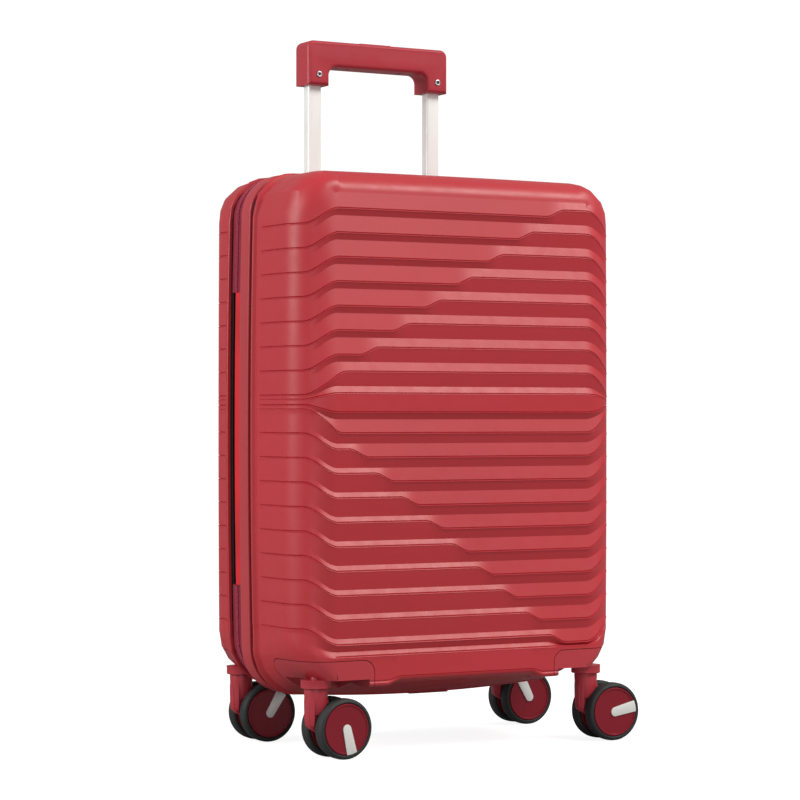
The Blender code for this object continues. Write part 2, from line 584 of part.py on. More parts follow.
def hub_profile(side):
    points = [(AXLE_HOLE, WHEEL_IN), (HUB_R, WHEEL_IN), (HUB_R, WHEEL_OUT - 0.0008), (HUB_R - 0.0014, WHEEL_OUT),
              (HUB_R - 0.0028, WHEEL_OUT - 0.0010), (AXLE_HOLE, WHEEL_OUT - 0.0010)]
    return [(radius, side * y) for radius, y in points]


def fork(name):
    """The swivel pin, its round post and the arm that runs down between the two wheels."""
    arm = [(-POST_R + 0.0006, 0.0580), (-0.0098, 0.0400), (-0.0040, 0.0290), (0.0060, 0.0215)]
    arm += arc_points(TRAIL, WHEEL_Z, 0.0078, -100, 60, 5)
    arm += [(0.0165, 0.0450), (POST_R - 0.0006, 0.0580)]
    obj = add_object(name, extrude_outline(arm, 0.0090))
    local = Vector((CASE_X, 0, 0))
    pieces = (("post", rod(POST_R - 0.0004, (0, 0, 0.0560), (0, 0, COLLAR_LOW - 0.0004), 24, POST_R)),
              ("pin", rod(PIN_R, (0, 0, COLLAR_LOW - 0.001), (0, 0, 0.0925), 20)))
    for word, bm in pieces:
        bmesh.ops.translate(bm, vec=-local, verts=bm.verts)
        boolean(obj, cutter(f"{name}_{word}", bm), "UNION")
    hole = rod(AXLE_HOLE, (TRAIL, -0.02, WHEEL_Z), (TRAIL, 0.02, WHEEL_Z), 16)
    bmesh.ops.translate(hole, vec=-local, verts=hole.verts)
    boolean(obj, cutter(name + "_axle_hole", hole))
    return obj


def caster(word, sign, side):
    """One twin-wheel caster, parented to an empty on its swivel axis."""
    x, y = caster_place(sign, side)
    swivel = bpy.data.objects.new(f"swivel_{word}", None)
    PARTS.objects.link(swivel)
    swivel.location = (CASE_X + x, y, 0)
    swivel.rotation_euler = (0, 0, radians(CASTER_TURN[word]))
    pieces = [fork(f"caster_fork_{word}")]
    pieces += [c for c in CUTTERS.objects if c.name.startswith(f"caster_fork_{word}_")]
    bm = bmesh.new()
    bmesh.ops.create_cone(bm, cap_ends=True, segments=14, radius1=AXLE_R, radius2=AXLE_R,
                          depth=2 * (WHEEL_OUT - 0.0014), matrix=Matrix.Rotation(pi / 2, 4, "X"))
    axle = add_object(f"axle_{word}", bm, SILVER, 0.3, 1.0)
    wheels = [axle]
    for name, half in (("outer", -1), ("inner", 1)):
        wheels.append(turned_ring(f"hub_{word}_{name}", hub_profile(half), WHEEL_STEPS, DARK_RED, 0.4))
        wheels.append(turned_ring(f"tyre_{word}_{name}", tyre_profile(half), WHEEL_STEPS, BLACK, 0.7))
    for obj in wheels:
        obj.location = (TRAIL, 0, WHEEL_Z)
    for obj in pieces + wheels:
        obj.parent = swivel


def build_casters():
    for fore, sign in (("front", 1), ("rear", -1)):
        for hand, side in (("left", -1), ("right", 1)):
            wheel_housing(f"wheel_housing_{fore}_{hand}", sign, side)
            caster(f"{fore}_{hand}", sign, side)


# ---- openings in the shells ---------------------------------------------------------------
def cut_rear_shell(rear, rear_lining):
    """Holes for the trolley tubes, the carry handle's sockets and the lock."""
    for side in (-1, 1):
        x = side * TUBE_X
        half_x, half_y = OUTER_TUBE[0] / 2 + 0.0004, OUTER_TUBE[1] / 2 + 0.0004
        boolean(rear, cutter(f"top_tube_hole_{side}", box((x - half_x, TUBE_Y - half_y, 0.53),
                                                          (x + half_x, TUBE_Y + half_y, 0.57))))
        x = side * CARRY_POST_X
        boolean(rear, cutter(f"top_socket_hole_{side}", rod(0.0066, (x, CARRY_Y, 0.53), (x, CARRY_Y, 0.57), 16)))
        boolean(rear_lining, cutter(f"lining_socket_hole_{side}", rod(0.0072, (x, CARRY_Y, 0.50), (x, CARRY_Y, 0.57), 16)))
    lock_hole = box((SIDE_X - 0.02, LOCK_Y - 0.0088, LOCK_Z - LOCK_HALF - GAP),
                    (SIDE_X + 0.02, LOCK_Y + 0.0088, LOCK_Z + LOCK_HALF + GAP))
    boolean(rear, cutter("lock_hole", lock_hole))
    lining_hole = box((SIDE_X - 0.02, LOCK_Y - 0.0095, LOCK_Z - LOCK_HALF - 0.001),
                      (SIDE_X + 0.02, LOCK_Y + 0.0095, LOCK_Z + LOCK_HALF + 0.001))
    boolean(rear_lining, cutter("lock_lining_hole", lining_hole))


def main():
    clear_scene()
    rear = build_shells()
    build_band_and_zips()
    build_bottom_tab()
    lining("front_lining", 1, FRONT_WALL_END + 0.0020, (FACE_LOW, BODY_LOW), BOW)
    rear_lining = lining("rear_lining", -1, DEPTH - REAR_RIM_END + 0.0020, (REAR_FACE_LOW, REAR_LOW),
                         REAR_BOW, LINING_FLOOR)
    build_trolley()
    build_carry_handle()
    build_lock()
    build_pullers()
    build_casters()
    cut_rear_shell(rear, rear_lining)


main()
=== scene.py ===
"""Looks of a hard shell cabin suitcase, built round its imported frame.

Metres, +Z up, -Y out of the ribbed front. Depths through the case are counted from its front
face. Both shells come from one mould: the rear one is the front one turned about the upright
axis, with a shallower edge.
"""

from math import atan2, cos, degrees, pi, radians, sin

import bmesh
import bpy
from mathutils import Matrix, Vector


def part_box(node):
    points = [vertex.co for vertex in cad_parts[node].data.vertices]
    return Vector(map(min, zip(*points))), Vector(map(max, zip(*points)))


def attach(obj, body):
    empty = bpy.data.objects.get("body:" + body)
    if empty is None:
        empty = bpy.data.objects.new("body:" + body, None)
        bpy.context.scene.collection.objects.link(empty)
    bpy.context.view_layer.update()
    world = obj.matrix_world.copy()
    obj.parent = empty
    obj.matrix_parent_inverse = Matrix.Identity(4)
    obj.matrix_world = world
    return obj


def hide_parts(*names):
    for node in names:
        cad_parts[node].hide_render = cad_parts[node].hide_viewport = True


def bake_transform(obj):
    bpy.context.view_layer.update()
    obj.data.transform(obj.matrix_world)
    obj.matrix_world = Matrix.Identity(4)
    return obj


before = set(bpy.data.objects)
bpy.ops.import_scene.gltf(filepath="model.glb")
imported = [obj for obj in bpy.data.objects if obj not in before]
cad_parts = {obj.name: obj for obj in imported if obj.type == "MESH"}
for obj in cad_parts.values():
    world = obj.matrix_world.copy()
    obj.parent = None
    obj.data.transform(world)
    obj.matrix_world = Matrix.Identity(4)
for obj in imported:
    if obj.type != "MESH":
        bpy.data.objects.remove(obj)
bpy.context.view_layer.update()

# ---- the case's main sizes ---------------------------------------------------------------
CASE_X = sum(corner.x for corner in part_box("middle_frame")) / 2
SIDE_X, DEPTH = 0.1778, 0.2010
WALL, RIM_STEP = 0.0022, 0.0020
BODY_TOP, RIM_TOP, RIM_LOW = 0.5508, 0.5528, 0.0530
CORNER_LOW, CORNER_TOP = 0.047, 0.042
SIDE_ROUND = 0.0370
HANDS = (("left", -1), ("right", 1))
BOW = (0.0026, 0.0020, 0.0026, 0.0050)      # right, top, left, bottom
FACE_BOW = 0.3                              # the share of the bow where the rounded edge ends
REAR_BOW = (0.0026, 0.0, 0.0026, 0.0020)
SHELLS = {
    "front": {"face_low": 0.0690, "body_low": 0.0560, "rim_low": RIM_LOW, "top_round": 0.022,
              "wall_end": 0.0845, "rim_end": 0.0950, "bow": BOW, "pocket": 0.0055},
    "rear": {"face_low": 0.0665, "body_low": 0.0602, "rim_low": 0.0592, "top_round": 0.012,
             "wall_end": 0.0495, "rim_end": 0.0565, "bow": REAR_BOW, "pocket": 0.0},
}

# ---- the ribs ----------------------------------------------------------------------------
RIB_DEPTH = 0.0032
PITCH = 0.0227
MIDDLE_Z = 0.3326
RIBS_UP, RIBS_DOWN = 8, 10
SKIRT_Z, RIDGE_Z, FACE_TOP_Z = 0.0750, 0.0957, 0.5288   # the skirt's foot, its ridge, and the top
FACE_HALF = SIDE_X - SIDE_ROUND
LIP, GROOVE = 0.00032, 0.00085
LOWER_JOGS = (51.6, 27.46, 21.0)   # first jog's start, step to the next one and its length, in mm
UPPER_JOGS = (27.4, 34.4, 22.0)
LOWEST_JOG = 24.0
DEGREES_PER_METRE = 1540.0          # across the face, as if the surface went on turning


def clamp(value, low=0.0, high=1.0):
    return max(low, min(high, value))


def ease(low, high, value):
    share = clamp((value - low) / (high - low))
    return share * share * (3 - 2 * share)


def bulge(share):
    """A parabola that is 0 at both ends and 1 in the middle."""
    return 4 * share * (1 - share)


def mix(a, b, share):
    return a + (b - a) * share


def spot(x, depth, z):
    """A point given from the case's middle line and its front face."""
    return Vector((CASE_X + x, depth - DEPTH / 2, z))


# ---- finishes ----------------------------------------------------------------------------
class Finish:
    """A procedural material on a Principled shader, with short ways to add its nodes."""

    def __init__(self, name, roughness, metallic=0.0, **constants):
        self.material = bpy.data.materials.new(name)
        self.material.use_nodes = True
        self.tree = self.material.node_tree
        self.shader = self.tree.nodes["Principled BSDF"]
        self.shader.inputs["Roughness"].default_value = roughness
        self.shader.inputs["Metallic"].default_value = metallic
        for socket, value in constants.items():
            self.shader.inputs[socket.replace("_", " ")].default_value = value
        self.place = self.node("ShaderNodeTexCoord").outputs["Object"]

    def node(self, kind, **inputs):
        made = self.tree.nodes.new(kind)
        for socket, value in inputs.items():
            target = made.inputs[socket.replace("_", " ")]
            if isinstance(value, bpy.types.NodeSocket):
                self.tree.links.new(value, target)
            else:
                target.default_value = value
        return made

    def stretched(self, scale):
        return self.node("ShaderNodeMapping", Vector=self.place, Scale=scale).outputs["Vector"]

    def noise(self, scale, detail=3.0, place=None):
        return self.node("ShaderNodeTexNoise", Vector=place or self.place, Scale=scale,
                         Detail=detail).outputs["Fac"]

    def spread(self, value, low, high, start=0.3, end=0.7):
        return self.node("ShaderNodeMapRange", Value=value, From_Min=start, From_Max=end,
                         To_Min=low, To_Max=high).outputs["Result"]

    def blend_colours(self, factor, first, second):
        made = self.tree.nodes.new("ShaderNodeMix")
        made.data_type = "RGBA"
        colours = [socket for socket in made.inputs if socket.type == "RGBA"]
        for socket, colour in zip(colours, (first, second)):
            if isinstance(colour, bpy.types.NodeSocket):
                self.tree.links.new(colour, socket)
            else:
                socket.default_value = (*colour, 1.0)
        self.tree.links.new(factor, made.inputs[0])
        return [socket for socket in made.outputs if socket.type == "RGBA"][0]

    def link(self, output, socket):
        self.tree.links.new(output, self.shader.inputs[socket])

    def tone(self, colour, amount, scale=7.0):
        """Slow changes of tone over the piece."""
        darker = [channel * (1 - amount) for channel in colour]
        lighter = [min(1.0, channel * (1 + amount)) for channel in colour]
        output = self.blend_colours(self.spread(self.noise(scale), 0, 1), darker, lighter)
        self.link(output, "Base Color")
        return output

    def rough(self, low, high, scale=40.0):
        self.link(self.spread(self.noise(scale, 5.0), low, high), "Roughness")

    def bump(self, height, strength, distance=0.0002):
        bump = self.node("ShaderNodeBump", Height=height, Strength=strength, Distance=distance)
        below = self.shader.inputs["Normal"].links
        if below:
            self.tree.links.new(below[0].from_socket, bump.inputs["Normal"])
        self.link(bump.outputs["Normal"], "Normal")

    def multiply(self, first, second):
        made = self.tree.nodes.new("ShaderNodeMath")
        made.operation = "MULTIPLY"
        self.tree.links.new(first, made.inputs[0])
        self.tree.links.new(second, made.inputs[1])
        return made.outputs[0]

    def weave(self, per_metre, strength, lean=(1.0, 1.0, 1.0)):
        """Crossed threads: one set runs along the piece, the other up it."""
        threads = []
        for direction in ("X", "Z"):
            wave = self.node("ShaderNodeTexWave", Vector=self.stretched(lean), Scale=per_metre / 6.0,
                             Distortion=0.6, Detail=1.0)
            wave.bands_direction = direction
            threads.append(wave.outputs["Fac"])
        crossed = self.multiply(*threads)
        self.bump(crossed, strength, 0.0003)
        return crossed


def moulded_plastic(name, colour, roughness, grain=0.10, tone=0.05, specular=0.5):
    """Injection-moulded plastic: a fine sand texture, slow tone changes and faint handling marks."""
    finish = Finish(name, roughness, Specular_IOR_Level=specular)
    finish.tone(colour, tone)
    finish.rough(roughness - 0.05, roughness + 0.06, 55.0)
    finish.bump(finish.noise(2600.0, 2.0), grain, 0.00012)
    finish.bump(finish.noise(300.0, 3.0), grain * 0.4, 0.0002)
    return finish.material


def shell_plastic():
    finish = Finish("shell_plastic", 0.42, Specular_IOR_Level=0.42)
    base = finish.tone((0.440, 0.026, 0.036), 0.05, 5.0)
    streaks = finish.noise(14.0, 6.0, finish.stretched((1.0, 1.0, 9.0)))
    streaks = finish.spread(streaks, 0.0, 0.16, 0.56, 0.8)
    finish.link(finish.blend_colours(streaks, base, (0.47, 0.050, 0.058)), "Base Color")
    finish.rough(0.38, 0.48, 70.0)
    finish.bump(finish.noise(2400.0, 2.0), 0.16, 0.00012)
    finish.bump(finish.noise(420.0, 3.0), 0.05, 0.0002)
    return finish.material


def metal(name, colour, roughness, scale=(40.0, 40.0, 0.6), strength=0.05, metallic=1.0):
    """Metal with a fine drawn grain along one way; where metallic is set low, its pale colour turns
    mostly diffuse and is painted reflection of the white surroundings.
    """
    finish = Finish(name, roughness, metallic)
    finish.tone(colour, 0.04, 12.0)
    grain = finish.noise(60.0, 4.0, finish.stretched(scale))
    finish.link(finish.spread(grain, roughness - 0.06, roughness + 0.08), "Roughness")
    finish.bump(grain, strength, 0.0001)
    return finish.material


def cloth(name, colour, per_metre=1400.0, strength=0.5, lean=(1.0, 1.0, 1.0), shine=0.3):
    finish = Finish(name, 0.85, Sheen_Weight=shine, Sheen_Roughness=0.4)
    crossed = finish.weave(per_metre, strength, lean)
    darker = [channel * 0.72 for channel in colour]
    lighter = [channel * 1.15 for channel in colour]
    woven = finish.blend_colours(crossed, darker, lighter)
    faded = finish.blend_colours(finish.spread(finish.noise(20.0), 0.0, 0.25), woven, darker)
    finish.link(faded, "Base Color")
    return finish.material


def rubber():
    finish = Finish("tyre_rubber", 0.62, Specular_IOR_Level=0.35)
    finish.tone((0.022, 0.024, 0.025), 0.18, 30.0)
    finish.rough(0.55, 0.72, 90.0)
    finish.bump(finish.noise(1500.0, 2.0), 0.12, 0.00015)
    return finish.material


SHELL = shell_plastic()
TRIM = moulded_plastic("trim_plastic", (0.400, 0.028, 0.044), 0.40, 0.14, 0.05, 0.42)
FRAME = moulded_plastic("frame_plastic", (0.410, 0.034, 0.046), 0.40, 0.14, 0.05, 0.42)
WHEEL = moulded_plastic("wheel_plastic", (0.200, 0.006, 0.016), 0.30, 0.05, 0.05, 0.35)
SOFT_GRIP = moulded_plastic("soft_grip", (0.22, 0.016, 0.026), 0.60, 0.25)
BLACK = moulded_plastic("black_plastic", (0.018, 0.018, 0.020), 0.45, 0.12)
DIAL = moulded_plastic("dial_plastic", (0.55, 0.55, 0.56), 0.35, 0.05)
TYRE = rubber()
# Painted reflection: the tube's near-white colour at low metallic stands in for the bright
# surroundings that polished metal would mirror.
TUBE = metal("tube_metal", (0.90, 0.925, 0.905), 0.40, metallic=0.20)
INLAY = metal("inlay_metal", (0.80, 0.81, 0.79), 0.36, (30.0, 30.0, 30.0), 0.03, 0.35)
STEEL = metal("steel", (0.66, 0.66, 0.67), 0.28, (50.0, 50.0, 2.0), 0.04)
ZIP_TAPE = cloth("zip_tape", (0.260, 0.009, 0.034), 2200.0, 0.5, (1.0, 1.0, 1.0), 0.0)
ZIP_COIL = moulded_plastic("zip_coil", (0.33, 0.014, 0.048), 0.42, 0.05)
TAB_CLOTH = cloth("tab_cloth", (0.170, 0.006, 0.030), 1500.0, 0.7)
GUSSET = cloth("gusset_cloth", (0.15, 0.008, 0.016), 1300.0, 0.6)
HINGE = cloth("hinge_strip", (0.66, 0.010, 0.020), 1900.0, 0.25, (1.0, 1.0, 1.0), 0.0)
LINING = cloth("lining_cloth", (0.075, 0.072, 0.078), 1200.0, 0.7)


# ---- making pieces -----------------------------------------------------------------------
def add_object(name, data):
    obj = bpy.data.objects.new(name, data)
    bpy.context.scene.collection.objects.link(obj)
    return obj


def mesh_from(name, bm):
    """Turns a bmesh, which is used up, into a mesh."""
    mesh = bpy.data.meshes.new(name)
    bm.to_mesh(mesh)
    bm.free()
    return mesh


def piece(name, bm, body, material, replaces=(), angle=30.0):
    """Turns a bmesh into a finished object that moves with a body."""
    obj = add_object(name, mesh_from(name, bm))
    obj.data.materials.append(material)
    crisp(obj, angle)
    if body:
        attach(obj, body)
    if replaces:
        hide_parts(*replaces)
    return obj


def cut(obj, bm, operation="DIFFERENCE", solver="EXACT"):
    """Cuts a shape out of an object for good, or keeps only what lies in the shape."""
    mesh = mesh_from("cutter", bm)
    tool = add_object("cutter", mesh)
    modifier = obj.modifiers.new("cut", "BOOLEAN")
    modifier.operation, modifier.object, modifier.solver = operation, tool, solver
    graph = bpy.context.evaluated_depsgraph_get()
    graph.update()
    result = bpy.data.meshes.new_from_object(obj.evaluated_get(graph), depsgraph=graph)
    obj.modifiers.clear()
    old, obj.data = obj.data, result
    bpy.data.meshes.remove(old)
    bpy.data.objects.remove(tool)
    bpy.data.meshes.remove(mesh)
    return obj


def outward(bm):
    bmesh.ops.recalc_face_normals(bm, faces=bm.faces)
    return bm


def soften(bm, edges, offset, segments):
    bmesh.ops.bevel(bm, geom=edges, offset=offset, segments=segments, profile=0.5, affect="EDGES",
                    material=-1)


def crisp(obj, angle):
    """Smooth shading, with sharp edges where the surface turns by more than an angle."""
    obj.data.shade_smooth()
    obj.data.set_sharp_from_angle(angle=radians(angle))


def keep_behind(bm, point, normal):
    """Cuts a closed shape with a plane, drops what the normal points at and closes the cut."""
    everything = bm.verts[:] + bm.edges[:] + bm.faces[:]
    bmesh.ops.bisect_plane(bm, geom=everything, plane_co=point, plane_no=normal, clear_outer=True)
    bmesh.ops.contextual_create(bm, geom=[e for e in bm.edges if e.is_boundary])
    return bm


def merge(bm, other):
    """Adds another bmesh's shape to bm as a body of its own."""
    mesh = mesh_from("merged", other)
    bm.from_mesh(mesh)
    bpy.data.meshes.remove(mesh)
    return bm


def shifted(bm, x, y, z=0.0):
    bmesh.ops.translate(bm, vec=(x, y, z), verts=bm.verts)
    return bm


def rolled(bm, angle, axis):
    bmesh.ops.rotate(bm, cent=(0, 0, 0), matrix=Matrix.Rotation(angle, 3, axis), verts=bm.verts)
    return bm


def seated(bm, matrix):
    bmesh.ops.transform(bm, matrix=matrix, verts=bm.verts)
    return bm


def block(low, high, bevel=0.0, segments=3, keep=None):
    """A bevelled block between two corners, given from the middle of the case."""
    low, high = Vector(low), Vector(high)
    bm = bmesh.new()
    bmesh.ops.create_cube(bm, size=1.0)
    bmesh.ops.scale(bm, vec=high - low, verts=bm.verts)
    bmesh.ops.translate(bm, vec=(low + high) / 2 + Vector((CASE_X, 0, 0)), verts=bm.verts)
    if bevel:
        soften(bm, [e for e in bm.edges if keep is None or keep(e)], bevel, segments)
    return bm


def upright(edge):
    """True for an edge that runs mostly up and down."""
    way = edge.verts[0].co - edge.verts[1].co
    return abs(way.z) > 0.7 * way.length


def top_edges(bm, level):
    return [e for e in bm.edges if all(v.co.z > level - 1e-5 for v in e.verts)]


def turned(profile, steps=48, closed=True):
    """Turns (radius, height) points about the upright axis through the origin."""
    bm = bmesh.new()
    verts = [bm.verts.new((radius, 0, height)) for radius, height in profile]
    pairs = list(zip(verts, verts[1:])) + ([(verts[-1], verts[0])] if closed else [])
    edges = [bm.edges.new(pair) for pair in pairs]
    bmesh.ops.spin(bm, geom=verts + edges, cent=(0, 0, 0), axis=(0, 0, 1), angle=2 * pi, steps=steps,
                   use_merge=True)
    bmesh.ops.remove_doubles(bm, verts=bm.verts, dist=0.000001)
    return outward(bm)


def drill(radius, low, high, steps):
    """An upright cylinder on the z axis."""
    return turned([(0.0, low), (radius, low), (radius, high), (0.0, high)], steps, False)


def prism(points, start, end, bevel=0.0, segments=3):
    """A plate from (x, z) points between two y values, its two outlines bevelled."""
    bm = bmesh.new()
    face = bm.faces.new([bm.verts.new((x, start, z)) for x, z in points])
    grown = bmesh.ops.extrude_face_region(bm, geom=[face])["geom"]
    far_side = [g for g in grown if isinstance(g, bmesh.types.BMVert)]
    bmesh.ops.translate(bm, vec=(0, end - start, 0), verts=far_side)
    outward(bm)
    if bevel:
        outlines = [e for e in bm.edges if abs(e.verts[0].co.y - e.verts[1].co.y) < 1e-6]
        soften(bm, outlines, bevel, segments)
    return bm


def arc(x, z, radius, first, last, steps):
    return [(x + radius * cos(radians(mix(first, last, i / steps))),
             z + radius * sin(radians(mix(first, last, i / steps)))) for i in range(steps + 1)]


# ---- the shell's surface -----------------------------------------------------------------
def line_levels(left, right, across):
    """Levels of the skirt, valleys, crests and plateau edges, from the bottom up.

    left and right say how far the surface has turned from each side, in degrees (90 is where
    the face begins), and across is the distance from the left side, in millimetres.
    """
    bend = ease(42.0, 95.0, left) * ease(30.0, 95.0, right)
    base_up, base_down = MIDDLE_Z + 0.0063, MIDDLE_Z - 0.0063
    lower = []
    for k in range(RIBS_DOWN):
        start = LOWER_JOGS[0] + LOWER_JOGS[1] * (k - 1) if k else LOWEST_JOG
        jog = ease(start, start + LOWER_JOGS[2], across)
        side = base_down - k * PITCH
        valley = (MIDDLE_Z - 0.0045, -0.0109) if k == 0 else (side + 0.30 * PITCH, -0.70 * PITCH)
        lower.append((side - PITCH * (0.66 + 0.34 * jog) * bend, valley[0] + valley[1] * bend))
    levels = [(SKIRT_Z, 1), (RIDGE_Z, 1), (mix(RIDGE_Z, lower[-1][0], 0.45), 0)]
    for crest, valley in reversed(lower):
        levels += [(crest, 1), (valley, 0)]
    levels += [(MIDDLE_Z - 0.0028 - 0.0068 * bend, 1), (MIDDLE_Z + 0.0028 + 0.0054 * bend, 1)]
    for k in range(RIBS_UP):
        start = UPPER_JOGS[0] + UPPER_JOGS[1] * k
        jog = ease(start, start + UPPER_JOGS[2], across)
        side = base_up + k * PITCH
        valley = (MIDDLE_Z + 0.0045, 0.0109) if k == 0 else (side - 0.30 * PITCH, 0.70 * PITCH)
        levels += [(valley[0] + valley[1] * bend, 0), (side + PITCH * (0.66 + 0.315 * jog) * bend, 1)]
    return levels + [(FACE_TOP_Z, 0)]


def surface_rows(left, right, across):
    """(level, height, groove) of every mesh row; a row's meaning is the same all round the shell."""
    levels = line_levels(left, right, across)
    sink = ease(45.0, 88.0, left) * ease(32.0, 72.0, right)
    rows = []
    for (z, crest), (z_next, crest_next) in zip(levels, levels[1:]):
        height, height_next = [1.0 if is_crest else 1.0 - sink for is_crest in (crest, crest_next)]
        span = z_next - z
        scale = min(1.0, span / 0.0030)
        if crest:
            inner = [(0.0, LIP), (0.00035, LIP), (0.00095, -GROOVE), (0.00165, 0.0)]
        else:
            inner = [(0.0, 0.0), (0.00060, 0.0)]
        first, last = inner[-1][0] * scale, span - 0.0005 * scale
        inner = [(offset * scale, depth * scale) for offset, depth in inner]
        inner += [(mix(first, last, share), 0.0) for share in (0.33, 0.67, 1.0)]
        for offset, depth in inner:
            rows.append((z + offset, mix(height, height_next, offset / span), depth))
    rows.append((levels[-1][0], 1.0 - sink, 0.0))
    return rows


ROW_COUNT = len(surface_rows(99.0, 99.0, 100.0))
SKIRT_ROWS = 7                  # rows under the ridge
LOW_ROW = SKIRT_ROWS + 7 + 5    # the lowest crest that runs on round the sides
HIGH_ROW = ROW_COUNT - 4        # the last row of the highest crest's groove

TOP_LIMIT, LOW_LIMIT = FACE_HALF - 0.0060, 0.1308   # where the top and bottom corners begin
COLUMN_COUNT = 96


def face_columns():
    edge = [FACE_HALF - 0.0020 * i for i in range(5)] + [LOW_LIMIT]
    inner = [LOW_LIMIT * (1 - 2 * i / COLUMN_COUNT) for i in range(1, COLUMN_COUNT)]
    return sorted([-x for x in edge] + inner + edge)


COLUMNS = face_columns()


def pocket_drop(x, form):
    """How far the skirt's lower edge hangs below the finger recess in its middle."""
    across = (x + SIDE_X) * 1000
    return form["pocket"] * (1 - ease(92.0, 107.0, across) * (1 - ease(251.0, 266.0, across)))


EDGE_RINGS, WALL_RINGS = 16, 22     # outlines on the rounded edge, and up to the wall's end


def ring_at(depth, low, out=0.0, **changes):
    """An outline of the wall at a depth; changes overrule a straight, plain wall's values."""
    ring = {"turn": 0.0, "half": SIDE_X + out, "low": low, "top": BODY_TOP + out, "shrink": 0.0,
            "depth": depth, "swell": 1.0, "groove": 0.0, "inset": 0.0, "ribs": RIB_DEPTH}
    ring.update(changes)
    return ring


def shell_rings(form):
    """Outlines from the face's border over the rounded edge and along the wall to the rim."""
    rings = []
    for step in range(EDGE_RINGS):
        angle = 90.0 - 6.0 * step
        away = 1 - cos(radians(angle))
        rings.append(ring_at(SIDE_ROUND * (1 - sin(radians(angle))), form["face_low"] + 0.006 * away,
                             turn=angle, half=SIDE_X - SIDE_ROUND * away, shrink=SIDE_ROUND * away,
                             top=BODY_TOP - form["top_round"] * away, swell=FACE_BOW * (1 - away),
                             groove=1.0))
    end = form["wall_end"]
    for share in (0.15, 0.4, 0.65, 0.85, 0.9, 0.96, 1.0):
        low = mix(form["face_low"], form["body_low"], share)
        rings.append(ring_at(mix(SIDE_ROUND, end, share), low, swell=mix(FACE_BOW, 1.0, share),
                             groove=1.0 if share < 0.9 else 0.0))
    width = form["rim_end"] - end
    for out, share in ((-0.0004, 0.04), (-0.0013, 0.30), (-0.0016, 0.52), (-0.0010, 0.60),
                       (0.0006, 0.70), (0.0016, 0.77), (0.0020, 0.84)):
        low = form["rim_low"] + RIM_STEP - out
        rings.append(ring_at(end + width * share, mix(form["body_low"], low, share), out))
    for back, out in ((0.0007, 0.0020), (0.0001, 0.0017), (0.0, 0.0011)):
        rings.append(ring_at(form["rim_end"] - back, form["rim_low"] + RIM_STEP - out, out))
    return rings


def inner_rings(form):
    """The coarse inside of the shell, from the rim back to the face."""
    outer = shell_rings(form)
    rings = []
    for index, depth in ((-1, form["rim_end"]), (WALL_RINGS - 1, form["wall_end"] + 0.002),
                         (EDGE_RINGS - 1, SIDE_ROUND), (10, None), (5, None), (0, None)):
        ring = outer[index]
        copy = dict(ring)
        copy["inset"] = WALL + (0.0 if depth else 0.0006)
        copy["depth"] = depth if depth else ring["depth"] + WALL + RIB_DEPTH
        copy["groove"] = copy["ribs"] = 0.0
        rings.append(copy)
    return rings


def corner_point(half, centre_z, radius, start_z, share, way):
    """A point on the way from a side's last level round the corner to the top or bottom edge."""
    straight = abs(centre_z - start_z)
    run = share * (straight + radius * pi / 2)
    if run < straight:
        return half, start_z + way * run
    angle = (run - straight) / radius
    return half - radius * (1 - cos(angle)), centre_z + way * radius * sin(angle)


def corner_share(way, row, x, border_rows):
    """Where a vertex on the face's border stands on that way, from 0 to 1."""
    radius = 0.006 if way > 0 else CORNER_LOW - SIDE_ROUND
    z_end = border_rows[-1][0] if way > 0 else border_rows[0][0]
    start_z = border_rows[HIGH_ROW if way > 0 else LOW_ROW][0]
    straight = abs(z_end - way * radius - start_z)
    length = straight + radius * pi / 2
    if row is not None:
        run = abs(border_rows[row][0] - start_z)
        if run > straight:
            run = straight + radius * pi / 4 * (run - straight) / radius
        return run / length
    return (straight + radius * pi / 4 * (1 + (FACE_HALF - abs(x)) / radius)) / length


